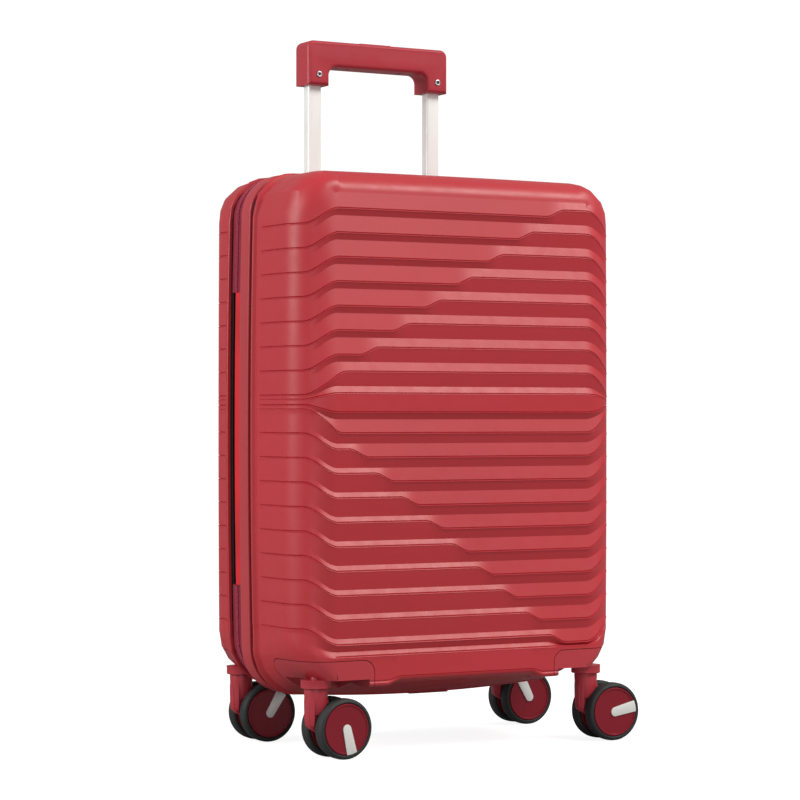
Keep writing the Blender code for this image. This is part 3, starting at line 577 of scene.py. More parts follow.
def make_shell_surface(form, rings):
    """A shell's closed surface: a grid for the face, drawn outwards ring by ring, then capped."""
    bm = bmesh.new()
    bmesh.ops.create_grid(bm, x_segments=len(COLUMNS) - 1, y_segments=ROW_COUNT - 1, size=1.0)
    column_of, row_of = bm.verts.layers.int.new("column"), bm.verts.layers.int.new("row")
    face_rows = [surface_rows(90.0 + (FACE_HALF + x) * DEGREES_PER_METRE,
                              90.0 + (FACE_HALF - x) * DEGREES_PER_METRE, (x + SIDE_X) * 1000)
                 for x in COLUMNS]
    last_column, last_row = len(COLUMNS) - 1, ROW_COUNT - 1
    top_drop = FACE_TOP_Z - (BODY_TOP - form["top_round"])
    low_shift = form["face_low"] + 0.006 - SKIRT_Z
    for vert in bm.verts:
        column, row = round((vert.co.x + 1) / 2 * last_column), round((vert.co.y + 1) / 2 * last_row)
        vert[column_of], vert[row_of] = column, row
        z, height, groove = face_rows[column][row]
        x = COLUMNS[column]
        if row < SKIRT_ROWS:
            share = 1 - row / SKIRT_ROWS
            z += share * (low_shift - pocket_drop(x, form))
        if row > HIGH_ROW:
            z -= top_drop * (row - HIGH_ROW) / (last_row - HIGH_ROW)
        vert.co = (x, RIB_DEPTH * (1 - height) - groove, z)

    def place(ring, column, row):
        turn, half, inset = ring["turn"], ring["half"] - ring["inset"], ring["inset"]
        low, top = ring["low"] + inset, ring["top"] - inset
        r_low, r_top = [max(r - ring["shrink"] - inset, 0.006) for r in (CORNER_LOW, CORNER_TOP)]
        on_side, inward = column in (0, last_column), sin(radians(turn))
        hand = (-1 if column == 0 else 1) if on_side else (-1 if COLUMNS[column] < 0 else 1)
        x = COLUMNS[column]
        if on_side or abs(x) > (TOP_LIMIT if row == last_row else LOW_LIMIT) - 1e-6:
            away = 1000 * SIDE_ROUND * (1 - cos(radians(turn)))
            around = (turn, 180.0, away) if hand < 0 else (180.0, turn, 2000 * SIDE_X - away)
            rows = ring["rows"].setdefault(hand, surface_rows(*around))
            if on_side and LOW_ROW <= row <= HIGH_ROW:
                z, height, groove = rows[row]
                share = clamp((z - low - r_low) / (top - r_top - low - r_low))
                swell = form["bow"][0] * ring["swell"] * bulge(share)
                groove *= ring["groove"]
                half += swell + groove * cos(radians(turn))
                into = (ring["ribs"] * (1 - height) - groove) * inward
                return Vector((hand * half, ring["depth"] + into, z))
            way = 1 if row > HIGH_ROW else -1
            border_rows = face_rows[0 if hand < 0 else last_column]
            share = corner_share(way, row if on_side else None, x, border_rows)
            if way > 0:
                centre, radius, start = top - r_top, r_top, rows[HIGH_ROW][0]
            else:
                centre, radius, start = low + r_low, r_low, rows[LOW_ROW][0]
            height = rows[row][1]
            far, z = corner_point(half, centre, radius, start, share, way)
            if way < 0:
                z -= pocket_drop(hand * far, form) * ease(0.6, 1.0, share) * inward
            return Vector((hand * far, ring["depth"] + ring["ribs"] * (1 - height) * inward, z))
        if row == last_row:
            share = (x + SIDE_X - CORNER_TOP) / (2 * (SIDE_X - CORNER_TOP))
            swell = form["bow"][1] * ring["swell"] * bulge(share)
            return Vector((x, ring["depth"] + ring["ribs"] * inward, top + swell))
        share = (x + SIDE_X - CORNER_LOW) / (2 * (SIDE_X - CORNER_LOW))
        swell = form["bow"][3] * ring["swell"] * bulge(share)
        return Vector((x, ring["depth"], low - swell - pocket_drop(x, form) * inward))

    border = [edge for edge in bm.edges if edge.is_boundary]
    for index, ring in enumerate(rings):
        ring["rows"] = {}
        if index:
            grown = bmesh.ops.extrude_edge_only(bm, edges=border)["geom"]
            border = [g for g in grown if isinstance(g, bmesh.types.BMEdge) and g.is_boundary]
        for vert in {v for edge in border for v in edge.verts}:
            vert.co = place(ring, vert[column_of], vert[row_of])
    bmesh.ops.contextual_create(bm, geom=border)
    return bm


def seat_shell(bm, rear):
    """Moves a shell from its own place, face at y = 0, to its place in the case."""
    shifted(bm, 0, -DEPTH / 2)
    if rear:
        rolled(bm, pi, "Z")
    return outward(shifted(bm, CASE_X, 0))


HOUSING_X, HOUSING_TOP = 0.078, 0.0925
HOUSING_Y = {"front": 0.067, "rear": 0.051}
PLATE_LOW = 0.0745
SEAM, CREASE = 0.0003, 26.0         # half the gap round a housing, and the shell's sharp angle


def corner_block(fore, side, shrink, z_low, z_top, rounding):
    """The rounded space that a wheel housing fills in a lower corner."""
    sign = 1 if fore == "front" else -1
    xs = sorted((side * (SIDE_X + 0.02), side * (SIDE_X - HOUSING_X + shrink)))
    ys = sorted((-sign * (DEPTH / 2 + 0.02), -sign * (DEPTH / 2 - HOUSING_Y[fore] + shrink)))
    inner_x = CASE_X + side * (SIDE_X - HOUSING_X + shrink)
    inner_y = -sign * (DEPTH / 2 - HOUSING_Y[fore] + shrink)

    def inner(edge):
        a, b = edge.verts[0].co, edge.verts[1].co
        level = abs(a.z - b.z) < 1e-5
        return level and ((abs(a.x - inner_x) < 1e-5 and abs(b.x - inner_x) < 1e-5)
                          or (abs(a.y - inner_y) < 1e-5 and abs(b.y - inner_y) < 1e-5))
    return block((xs[0], ys[0], z_low), (xs[1], ys[1], z_top), rounding, 8, inner)


def build_shells():
    for fore, form in SHELLS.items():
        rear = fore == "rear"
        bm = make_shell_surface(form, shell_rings(form) + inner_rings(form))
        shell = piece(f"{fore}_shell_skin", seat_shell(bm, rear), fore, SHELL,
                      (f"{fore}_shell",), CREASE)
        for side in (-1, 1):
            cut(shell, corner_block(fore, side, -SEAM, 0.030, HOUSING_TOP + SEAM, 0.0115))
        if rear:
            cut(shell, block((SIDE_X - 0.02, 0.0484, 0.2955), (SIDE_X + 0.01, 0.0666, 0.3645)))
        crisp(shell, CREASE)
        build_housings(fore, form, rear)


def build_housings(fore, form, rear):
    """Corner cups over the wheels, flush with the shell, with a dark slot over each wheel."""
    rings = shell_rings(form)[:WALL_RINGS]
    for ring in rings:
        ring["groove"] = 0.0
    solid = seat_shell(make_shell_surface(form, rings), rear)
    outward(keep_behind(solid, (0, 0, HOUSING_TOP + 0.0225), (0, 0, 1)))
    for hand, side in HANDS:
        name = f"wheel_housing_{fore}_{hand}"
        x, y = swivel_place(fore, side)
        cup = corner_block(fore, side, SEAM, 0.030, HOUSING_TOP - SEAM, 0.0112)
        cup = piece(f"{name}_cup", cup, fore, FRAME, (name,), CREASE)
        cut(cup, corner_block(fore, side, 0.0052, 0.020, PLATE_LOW, 0.0))
        cut(cup, shifted(drill(0.0054, 0.06, 0.10, 24), x, y))
        cut(cup, solid.copy(), "INTERSECT", "MANIFOLD")
        crisp(cup, CREASE)
        ring = turned([(0.0056, 0.0672), (0.0060, 0.0668), (0.0137, 0.0668), (0.0143, 0.0674),
                       (0.0143, 0.0735), (0.0146, 0.0741), (0.0146, 0.0748), (0.0056, 0.0748)], 40)
        piece(f"swivel_collar_{fore}_{hand}", shifted(ring, x, y), fore, TRIM)
    solid.free()


def swivel_place(fore, side):
    inset = 0.0213 if fore == "front" else 0.0222
    sign = 1 if fore == "front" else -1
    return CASE_X + side * (SIDE_X - 0.0272), sign * (inset - DEPTH / 2)


# ---- bands round the case ----------------------------------------------------------------
def outline(inset, low=RIM_LOW, bow=BOW, corner=14, side=24):
    """Points (x, z) round the rim, smaller by inset, with bowed sides."""
    half, top = SIDE_X + RIM_STEP - inset, RIM_TOP - inset
    low, r_low, r_top = low + inset, CORNER_LOW - inset, CORNER_TOP - inset
    centres = ((half - r_low, low + r_low, r_low, -90), (half - r_top, top - r_top, r_top, 0),
               (r_top - half, top - r_top, r_top, 90), (r_low - half, low + r_low, r_low, 180))
    ways = ((1, 0), (0, 1), (-1, 0), (0, -1))
    arcs = [arc(x, z, radius, first, first + 90, corner) for x, z, radius, first in centres]
    points = []
    for index, points_on in enumerate(arcs):
        points += points_on
        (x0, z0), (x1, z1) = points_on[-1], arcs[(index + 1) % 4][0]
        for step in range(1, side):
            share = step / side
            swell = bow[index] * bulge(share)
            points.append((mix(x0, x1, share) + ways[index][0] * swell,
                           mix(z0, z1, share) + ways[index][1] * swell))
    return points


def first_ring(bm, count):
    """A ring of numbered vertices; the numbers are copied to every ring drawn from it."""
    number = bm.verts.layers.int.new("number")
    made = bmesh.ops.create_circle(bm, segments=count, radius=1.0)["verts"]
    for index, vert in enumerate(made):
        vert[number] = index
    return number, made, list(bm.edges)


def next_ring(bm, ring):
    grown = bmesh.ops.extrude_edge_only(bm, edges=ring)["geom"]
    fresh = {g for g in grown if isinstance(g, bmesh.types.BMVert)}
    return fresh, [g for g in grown
                   if isinstance(g, bmesh.types.BMEdge) and all(v in fresh for v in g.verts)]


def closed_tube(bm):
    bmesh.ops.remove_doubles(bm, verts=bm.verts, dist=0.000001)
    return outward(bm)


def hoop(profile, low=RIM_LOW, bow=BOW, corner=14, side=24):
    """Draws a closed (inset, depth) profile round the case."""
    loops = [[spot(x, depth, z) for x, z in outline(inset, low, bow, corner, side)]
             for inset, depth in profile]
    bm = bmesh.new()
    number, fresh, ring = first_ring(bm, len(loops[0]))
    for index, loop in enumerate(loops + loops[:1]):
        if index:
            fresh, ring = next_ring(bm, ring)
        for vert in fresh:
            vert.co = loop[vert[number]]
    return closed_tube(bm)


HINGE_LOW, HINGE_TOP = 0.158, 0.439
COIL_SIDES = 5


def coil(depth, inset, radius, low, bow, body, name):
    """A zip's coil: a thin tube whose thickness swells at every tooth."""
    path = outline(inset, low, bow, 10, 12)
    corners = [spot(x, depth, z) for x, z in path]
    steps = []
    for start, end in zip(corners, corners[1:] + corners[:1]):
        count = max(1, round((end - start).length / 0.00055))
        steps += [start.lerp(end, i / count) for i in range(count)]
    bm = bmesh.new()
    number, fresh, ring = first_ring(bm, COIL_SIDES)
    centre = spot(0.0, depth, 0.30)
    for index, point in enumerate(steps + steps[:1]):
        step = index % len(steps)
        forward = (steps[(step + 1) % len(steps)] - steps[step - 1]).normalized()
        out = forward.cross(Vector((0, 1, 0)))
        if out.dot(point - centre) < 0:
            out = -out
        size = radius * (0.62 if step % 3 == 0 else 1.0)
        turns = [2 * pi * i / COIL_SIDES for i in range(COIL_SIDES)]
        places = [point + size * (out * cos(turn) + Vector((0, 1, 0)) * sin(turn)) for turn in turns]
        if index:
            fresh, ring = next_ring(bm, ring)
        for vert in fresh:
            vert.co = places[vert[number]]
    cut(piece(name, closed_tube(bm), body, ZIP_COIL, (), 60.0), hinge_space())


def hinge_space():
    """The room that the zips leave for the hinge strip."""
    return block((-SIDE_X - 0.02, 0.0095, HINGE_LOW - 0.0003),
                 (-SIDE_X + 0.03, 0.0595, HINGE_TOP + 0.0003))


def build_bands():
    frame_profile = [(0.0042, 0.1021), (0.0016, 0.1020), (0.0010, 0.1022), (0.0007, 0.1026),
                     (0.0006, 0.1032), (0.0004, 0.1100), (0.0004, 0.1150), (0.0006, 0.1195),
                     (0.0007, 0.1201), (0.0010, 0.1205), (0.0016, 0.1207), (0.0042, 0.1206)]
    piece("frame_band", hoop(frame_profile), "middle", FRAME, ("middle_frame",), 40.0)
    expander = [(0.0038, 0.0954), (0.0036, 0.0958), (0.0036, 0.1008), (0.0038, 0.1015),
                (0.0050, 0.1016), (0.0050, 0.0954)]
    piece("expander_tape", hoop(expander), "middle", GUSSET, ("expander_zip",), 40.0)
    rear_low = SHELLS["rear"]["rim_low"]
    for half, tape, at, body in (
            ("front", [(0.0034, 0.1210), (0.0030, 0.1218), (0.0028, 0.1300), (0.0030, 0.1312),
                       (0.0040, 0.1312), (0.0044, 0.1210)], 0.1303, "middle"),
            ("rear", [(0.0030, 0.1316), (0.0028, 0.1328), (0.0030, 0.1370), (0.0034, 0.1400),
                      (0.0040, 0.1425), (0.0042, 0.1444), (0.0052, 0.1444), (0.0050, 0.1420),
                      (0.0044, 0.1390), (0.0040, 0.1316)], 0.1327, "rear")):
        obj = piece(f"{half}_zip_tape", hoop(tape, rear_low, REAR_BOW), body, ZIP_TAPE,
                    (f"{half}_zip_half",), 40.0)
        crisp(cut(obj, hinge_space()), 40.0)
        coil(at, 0.0025, 0.0012, rear_low, REAR_BOW, body, f"{half}_zip_coil")
    build_gusset()
    build_hinge_strip()


def build_gusset():
    """The cloth behind the expander zip, in pleats."""
    pleats, span, fold = 12, 0.0205, 0.0049
    outer = [(0.0056 + fold * (i % 2), 0.0893 + span * i / pleats) for i in range(pleats + 1)]
    profile = outer + [(inset + 0.0006, depth) for inset, depth in reversed(outer)]
    gusset = piece("gusset_cloth", hoop(profile), None, GUSSET,
                   ("expansion_gusset",), 60.0)
    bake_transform(gusset)
    around = sum((Vector(a) - Vector(b)).length for a, b in zip(outline(0.006), outline(0.006)[1:]))


def thickened(bm, axis):
    """Makes one open layer into cloth, its faces turned towards the low side of an axis."""
    outward(bm)
    if sum(face.normal[axis] for face in bm.faces) > 0:
        bmesh.ops.reverse_faces(bm, faces=bm.faces)
    bmesh.ops.solidify(bm, geom=bm.faces, thickness=0.0009)
    return outward(bm)


def build_hinge_strip():
    """The flexible strip down the left side that joins the two halves."""
    section = [(0.0030, 0.1210), (0.0020, 0.1222), (0.0019, 0.1322), (0.0030, 0.1340),
               (0.0078, 0.1352), (0.0092, 0.1372), (0.0092, 0.1444)]
    levels = 40
    bm = bmesh.new()
    bmesh.ops.create_grid(bm, x_segments=len(section) - 1, y_segments=levels, size=1.0)
    straight_low, straight_top = RIM_LOW + CORNER_LOW, RIM_TOP - CORNER_TOP
    for vert in bm.verts:
        inset, depth = section[round((vert.co.x + 1) / 2 * (len(section) - 1))]
        z = mix(HINGE_LOW, HINGE_TOP, (vert.co.y + 1) / 2)
        share = (z - straight_low) / (straight_top - straight_low)
        half = SIDE_X + RIM_STEP - inset + BOW[2] * bulge(share)
        vert.co = spot(-half, depth, z)
    strip = piece("hinge_fabric", thickened(bm, 0), None, HINGE, ("hinge_strip",), 35.0)
    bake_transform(strip)


def build_bottom_tab():
    """The cloth tab over the zip's end, under the case."""
    low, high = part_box("zip_end_cover")
    grow = Vector((0.0010, 0.0008, 0.0))
    bm = bmesh.new()
    bmesh.ops.create_grid(bm, x_segments=16, y_segments=10, size=1.0)
    for vert in bm.verts:
        u, v = vert.co.x, vert.co.y
        x = mix(low.x - grow.x, high.x + grow.x, (u + 1) / 2)
        y = mix(low.y - grow.y, high.y + grow.y, (v + 1) / 2)
        hem = 0.0004 if max(abs(u), abs(v)) > 0.9 else 0.0
        vert.co = (x, y, low.z + 0.0004 - 0.0007 * (1 - u * u) * (1 - v * v) - hem)
    tab = piece("zip_end_tab", thickened(bm, 2), "middle", TAB_CLOTH,
                ("zip_end_cover",), 60.0)


# ---- casters -----------------------------------------------------------------------------
TRAIL, WHEEL_Z, TYRE_R, HUB_R = 0.0226, 0.0286, 0.0286, 0.0242
WHEEL_IN, WHEEL_OUT = 0.0056, 0.0192
CASTER_TURN = {"front_left": 4, "front_right": -2, "rear_left": 0, "rear_right": 0}
BAR_TURN = {"front_left": -77, "front_right": 12, "rear_left": 58, "rear_right": 118}


def wheel_side(profile, side):
    """A shape turned about the wheel's axle, on one side of the fork."""
    return rolled(turned(profile, 64), -side * pi / 2, "X")


def hub_profile():
    near, out = WHEEL_IN, WHEEL_OUT
    return [(0.0028, near), (0.0075, near), (0.0082, near + 0.0012), (0.0205, near + 0.0016),
            (0.0212, near + 0.0002), (0.0236, near), (HUB_R - 0.0002, near + 0.0006),
            (HUB_R - 0.0001, out - 0.0020), (HUB_R - 0.0004, out - 0.0006),
            (HUB_R - 0.0009, out - 0.0001), (HUB_R - 0.0016, out), (HUB_R - 0.0021, out - 0.0002),
            (HUB_R - 0.0025, out - 0.0009), (0.0110, out - 0.0012), (0.0028, out - 0.0012)]


def tyre_profile():
    low, high = WHEEL_IN + 0.0004, WHEEL_OUT - 0.0004
    return [(HUB_R + 0.0001, low + 0.0004), (HUB_R + 0.0012, low), (0.0262, low),
            (0.0274, low + 0.0005), (0.0282, low + 0.0014), (TYRE_R - 0.0001, low + 0.0030),
            (TYRE_R, (low + high) / 2), (TYRE_R - 0.0001, high - 0.0034), (0.0282, high - 0.0018),
            (0.0275, high - 0.0009), (0.0264, high - 0.0002), (0.0252, high),
            (HUB_R + 0.0006, high - 0.0002), (HUB_R + 0.0001, high - 0.0008)]


def inlay(side, turn):
    """The bright bar let into the wheel's face, rounded past the hub and cut by the rim."""
    half, wide, reach = 0.0045, 0.0057, HUB_R - 0.0002
    points = arc(0.0, 0.0, half, 90, 270, 14)
    edge = degrees(atan2(wide, reach))
    points += arc(0.0, 0.0, reach, -edge, edge, 6)
    bm = shifted(prism(points, 0.0, 0.0014, 0.0003, 2), 0, WHEEL_OUT - 0.0013)
    if side < 0:
        bmesh.ops.mirror(bm, geom=bm.verts[:] + bm.edges[:] + bm.faces[:], axis="Y", merge_dist=-1)
        bmesh.ops.delete(bm, geom=[v for v in bm.verts if v.co.y > 0], context="VERTS")
    return outward(rolled(bm, radians(-turn), "Y"))


def fork_shape():
    """The swivel post and the arm that runs down between the wheels."""
    arm = [(-0.0109, 0.0560), (-0.0108, 0.0480), (-0.0105, 0.0380), (-0.0098, 0.0322),
           (-0.0060, 0.0285), (0.0060, 0.0222)]
    arm += arc(TRAIL, WHEEL_Z, 0.0082, -105, 60, 12)
    arm += [(0.0212, 0.0415), (0.0168, 0.0470), (0.0128, 0.0515), (0.0110, 0.0560)]
    bm = prism(arm, -0.0046, 0.0046, 0.0012, 2)
    back = turned([(0.0, 0.0315), (0.0094, 0.0318), (0.0102, 0.0335), (0.0107, 0.0420),
                   (0.0111, 0.0580), (0.0, 0.0580)], 48, False)
    neck = [(0.0, 0.0420), (0.0080, 0.0425), (0.0098, 0.0470), (0.0108, 0.0560), (0.0113, 0.0640),
            (0.0111, 0.0663), (0.0060, 0.0664), (0.0, 0.0664)]
    pin = [(0.0, 0.0655), (0.0050, 0.0655), (0.0050, 0.0915), (0.0044, 0.0925), (0.0, 0.0925)]
    for other in (keep_behind(back, (-0.0066, 0, 0), (1, 0, 0)), turned(neck, 48, False),
                  turned(pin, 24, False)):
        merge(bm, other)
    return bm


def fork_ribs():
    """Short moulded ribs on the arm, beside the wheels."""
    bm = bmesh.new()
    for index in range(5):
        angle = radians(25 + 24 * index)
        rib = bmesh.ops.create_cube(bm, size=1.0)["verts"]
        bmesh.ops.scale(bm, vec=(0.0070, 0.0100, 0.0012), verts=rib)
        bmesh.ops.rotate(bm, cent=(0, 0, 0), matrix=Matrix.Rotation(-angle, 3, "Y"), verts=rib)
        middle = (TRAIL + 0.0145 * cos(angle), 0, WHEEL_Z + 0.0145 * sin(angle))
        bmesh.ops.translate(bm, vec=middle, verts=rib)
    guard = arc(TRAIL, WHEEL_Z, 0.0205, 20, 150, 16) + arc(TRAIL, WHEEL_Z, 0.0175, 150, 20, 16)
    return outward(merge(bm, prism(guard, -0.0046, 0.0046, 0.0006, 2)))


def build_casters():
    for fore in ("front", "rear"):
        for hand, side in HANDS:
            word = f"{fore}_{hand}"
            x, y = swivel_place(fore, side)
            seat = Matrix.Translation((x, y, 0)) @ Matrix.Rotation(radians(CASTER_TURN[word]), 4, "Z")
            hub_seat = seat @ Matrix.Translation((TRAIL, 0, WHEEL_Z))
            piece(f"fork_{word}", outward(seated(fork_shape(), seat)), f"caster_{word}",
                  TRIM, (f"caster_fork_{word}",), 40.0)
            piece(f"fork_ribs_{word}", seated(fork_ribs(), seat), f"caster_{word}", TRIM)
            for name, hub_side in (("outer", -1), ("inner", 1)):
                body = f"wheel_{word}_{name}"
                for what, shape, slot, material, node in (
                        ("disc", wheel_side(hub_profile(), hub_side), "wheel_red", WHEEL, "hub"),
                        ("tread", wheel_side(tyre_profile(), hub_side), "tyre_black", TYRE, "tyre"),
                        ("inlay", inlay(hub_side, BAR_TURN[word]), "steel", INLAY, None)):
                    replaced = (f"{node}_{word}_{name}",) if node else ()
                    piece(f"wheel_{what}_{word}_{name}", outward(seated(shape, hub_seat)), body,
                          material, replaced, 32.0)


# ---- trolley handle ----------------------------------------------------------------------
TUBE_X, TUBE_Y = 0.0683, 0.0845
GRIP_LOW, GRIP_ARCH, GRIP_TOP = 0.6505, 0.6695, 0.6950
GRIP_HALF, GRIP_LEG, GRIP_DEPTH = 0.0805, 0.0243, 0.0300
CREASE_Z, RIVET_Z = 0.6805, 0.661


def build_grip():
    """The handle's arch, with softly rounded edges and a crease along its front and back."""
    arch_r, top_r = 0.0085, 0.0075
    points = [(-GRIP_HALF, GRIP_LOW), (-GRIP_HALF + GRIP_LEG, GRIP_LOW)]
    points += arc(-GRIP_HALF + GRIP_LEG + arch_r, GRIP_ARCH - arch_r, arch_r, 180, 90, 10)
    points += arc(GRIP_HALF - GRIP_LEG - arch_r, GRIP_ARCH - arch_r, arch_r, 90, 0, 10)
    points += [(GRIP_HALF - GRIP_LEG, GRIP_LOW), (GRIP_HALF, GRIP_LOW)]
    points += arc(GRIP_HALF - top_r, GRIP_TOP - top_r, top_r, 0, 90, 8)
    points += arc(-GRIP_HALF + top_r, GRIP_TOP - top_r, top_r, 90, 180, 8)
    half = GRIP_DEPTH / 2
    bm = prism([(x + CASE_X, z) for x, z in points], TUBE_Y - half, TUBE_Y + half, 0.0042, 5)
    geometry = bm.verts[:] + bm.edges[:] + bm.faces[:]
    bmesh.ops.bisect_plane(bm, geom=geometry, plane_co=(0, 0, CREASE_Z), plane_no=(0, 0, 1))
    for vert in bm.verts:
        if abs(vert.co.y - TUBE_Y) > half - 1e-5:
            level = vert.co.z - CREASE_Z
            pull = 0.0004 * (level / 0.0145) if level > 0 else 0.0
            vert.co.y += -pull if vert.co.y > TUBE_Y else pull
    grip = piece("trolley_arch", bm, "handle", TRIM, ("trolley_grip",), 28.0)
    for x in (-TUBE_X, TUBE_X):
        cut(grip, block((x - 0.00755, TUBE_Y - 0.0063, GRIP_LOW - 0.01),
                        (x + 0.00755, TUBE_Y + 0.0063, 0.6830)))
        sunk = rolled(drill(0.0033, -0.01, 0.0004, 32), -pi / 2, "X")
        cut(grip, outward(shifted(sunk, CASE_X + x, TUBE_Y - half + 0.0002, RIVET_Z)))
    for x in (-0.030, 0.030):
        cut(grip, shifted(drill(0.0021, 0.66, 0.6745, 20), CASE_X + x, TUBE_Y - 0.003))
    cut(grip, block((-0.0196, TUBE_Y - 0.0086, GRIP_TOP - 0.0125),
                    (0.0196, TUBE_Y + 0.0086, GRIP_TOP + 0.01), 0.003, 4, upright))
    crisp(grip, 28.0)


def build_rivets():
    face = TUBE_Y - GRIP_DEPTH / 2
    for hand, side in HANDS:
        ring = turned([(0.0013, 0.0), (0.0013, 0.0007), (0.0016, 0.0010), (0.0023, 0.0011),
                       (0.0029, 0.0008), (0.0030, 0.0002), (0.0030, -0.0002), (0.0013, -0.0002)], 36)
        plug = drill(0.0012, 0.0002, -0.0004, 24)
        for name, bm, slot, material, replaced in (
                ("rivet", ring, "steel", STEEL, (f"grip_rivet_{hand}",)),
                ("rivet_eye", plug, "black_plastic", BLACK, ())):
            bm = outward(shifted(rolled(bm, pi / 2, "X"), CASE_X + side * TUBE_X, face, RIVET_Z))
            piece(f"{name}_{hand}", bm, "handle", material, replaced)


def build_trolley():
    build_grip()
    build_rivets()
    button = block((-0.0189, TUBE_Y - 0.0079, GRIP_TOP - 0.0085),
                   (0.0189, TUBE_Y + 0.0079, GRIP_TOP + 0.0002), 0.0028, 4, upright)
    top = [f for f in button.faces if f.normal.z > 0.9]
    for inset, rise in ((0.0010, 0.0009), (0.0020, -0.0003)):
        bmesh.ops.inset_region(button, faces=top, thickness=inset)
        bmesh.ops.translate(button, vec=(0, 0, rise), verts=list({v for f in top for v in f.verts}))
    piece("release_cap", outward(button), "release_button", TRIM, ("grip_button",), 40.0)
    for hand, _ in HANDS:
        low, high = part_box(f"inner_tube_{hand}")
        tube = block((low.x - CASE_X, low.y, low.z), (high.x - CASE_X, high.y, high.z), 0.0024, 5,
                     upright)
        piece(f"inner_leg_{hand}", tube, "handle", TUBE,
              (f"inner_tube_{hand}",), 40.0)
    low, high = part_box("trolley_bezel")
    bezel = block((low.x - CASE_X, low.y, 0.5425), (high.x - CASE_X, high.y, high.z), 0.0050, 6,
                  upright)
    soften(bezel, top_edges(bezel, high.z), 0.0014, 3)
    bezel = piece("tube_bezel", bezel, "rear", TRIM, ("trolley_bezel",), 35.0)
    for x in (-TUBE_X, TUBE_X):
        cut(bezel, block((x - 0.0092, TUBE_Y - 0.0079, 0.53), (x + 0.0092, TUBE_Y + 0.0079, 0.57),
                         0.0026, 4, upright))
    crisp(bezel, 35.0)


# ---- carry handle ------------------------------------------------------------------------
POST_X, POST_Y = 0.046, 0.0602


def build_carry_handle():
    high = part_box("carry_handle_base")[1]
    plate = block((-0.072, 0.0497, 0.5440), (0.072, 0.0707, high.z), 0.0085, 6, upright)
    soften(plate, top_edges(plate, high.z), 0.0009, 3)
    plate = piece("carry_plate", plate, "rear", TRIM, ("carry_handle_base",), 35.0)
    for x in (-POST_X, POST_X):
        cut(plate, shifted(drill(0.0037, 0.52, 0.57, 24), CASE_X + x, POST_Y))
    crisp(plate, 35.0)
    low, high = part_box("carry_grip")
    bar = block((-0.058, low.y, high.z - 0.0055), (0.058, high.y, high.z), 0.0070, 6, upright)
    soften(bar, [e for e in bar.edges if abs(e.verts[0].co.z - e.verts[1].co.z) < 1e-5], 0.0019, 4)
    for index in range(13):
        rib = block((-0.0310 + 0.005 * index, low.y + 0.0022, high.z - 0.0003),
                    (-0.0290 + 0.005 * index, high.y - 0.0022, high.z + 0.0003), 0.0002, 1)
        merge(bar, rib)
    post = [(0.0, low.z), (0.0050, low.z), (0.0052, low.z + 0.0004), (0.0052, low.z + 0.0022),
            (0.0034, low.z + 0.0025), (0.0034, high.z - 0.0045), (0.0, high.z - 0.0045)]
    for x in (-POST_X, POST_X):
        merge(bar, shifted(turned(post, 24, False), CASE_X + x, POST_Y))
    piece("carry_bar", bar, "carry_handle", SOFT_GRIP, ("carry_grip",), 40.0)


# ---- lock and zip pullers ----------------------------------------------------------------
LOCK_Y, LOCK_Z, DIAL_STEP = 0.0575, 0.330, 0.0090


def build_lock():
    low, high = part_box("lock_body")
    face = high.x - CASE_X
    plate = block((low.x - CASE_X, low.y, low.z), (face, high.y, high.z), 0.0012, 3,
                  lambda e: min(v.co.x for v in e.verts) > high.x - 0.0001 or not upright(e))
    lock = piece("lock_case", plate, "rear", BLACK, ("lock_body",), 35.0)
    cut(lock, block((face - 0.0102, LOCK_Y - 0.0062, LOCK_Z - 0.0140),
                    (face - 0.0020, LOCK_Y + 0.0062, LOCK_Z + 0.0140)))
    for index, word in enumerate(("lower", "middle", "upper")):
        z = LOCK_Z + (index - 1) * DIAL_STEP
        cut(lock, block((face - 0.0030, LOCK_Y - 0.0056, z - 0.0028),
                        (face + 0.0050, LOCK_Y + 0.0056, z + 0.0028), 0.0006, 2,
                        lambda e: not upright(e)))
        build_dial(word, high.x - 0.0043, z)
    for way in (-1, 1):
        z = LOCK_Z + way * 0.0245
        rail = block((face - 0.0006, LOCK_Y - 0.0050, z - 0.0050),
                     (face + 0.0006, LOCK_Y + 0.0050, z + 0.0050), 0.0008, 3)
        piece("lock_latch_lower" if way < 0 else "lock_latch_upper", rail, "rear", STEEL)


def build_dial(word, x, z):
    """A number wheel with raised numbers."""
    bm = turned([(0.0016, -0.0022), (0.0050, -0.0022), (0.0054, -0.0019), (0.0054, 0.0019),
                 (0.0050, 0.0022), (0.0016, 0.0022)], 40)
    piece(f"number_wheel_{word}", shifted(bm, x, LOCK_Y, z), f"dial_{word}", DIAL,
          (f"lock_dial_{word}",), 35.0)
    numbers = bmesh.new()
    for digit in range(10):
        curve = bpy.data.curves.new("digit", "FONT")
        curve.body, curve.size, curve.extrude = str(digit), 0.0036, 0.00012
        curve.align_x, curve.align_y, curve.resolution_u = "CENTER", "CENTER", 3
        holder = add_object("digit", curve)
        bpy.context.view_layer.update()
        mesh = bpy.data.meshes.new_from_object(holder)
        place = (Matrix.Translation((x, LOCK_Y, z)) @ Matrix.Rotation(2 * pi * digit / 10, 4, "Z")
                 @ Matrix.Translation((0.00545, 0, 0)) @ Matrix.Rotation(pi / 2, 4, "Z")
                 @ Matrix.Rotation(pi / 2, 4, "X"))
        mesh.transform(place)
        numbers.from_mesh(mesh)
        bpy.data.objects.remove(holder)
        bpy.data.meshes.remove(mesh)
        bpy.data.curves.remove(curve)
    bmesh.ops.remove_doubles(numbers, verts=numbers.verts, dist=0.000001)
    piece(f"wheel_numbers_{word}", numbers, f"dial_{word}", BLACK)


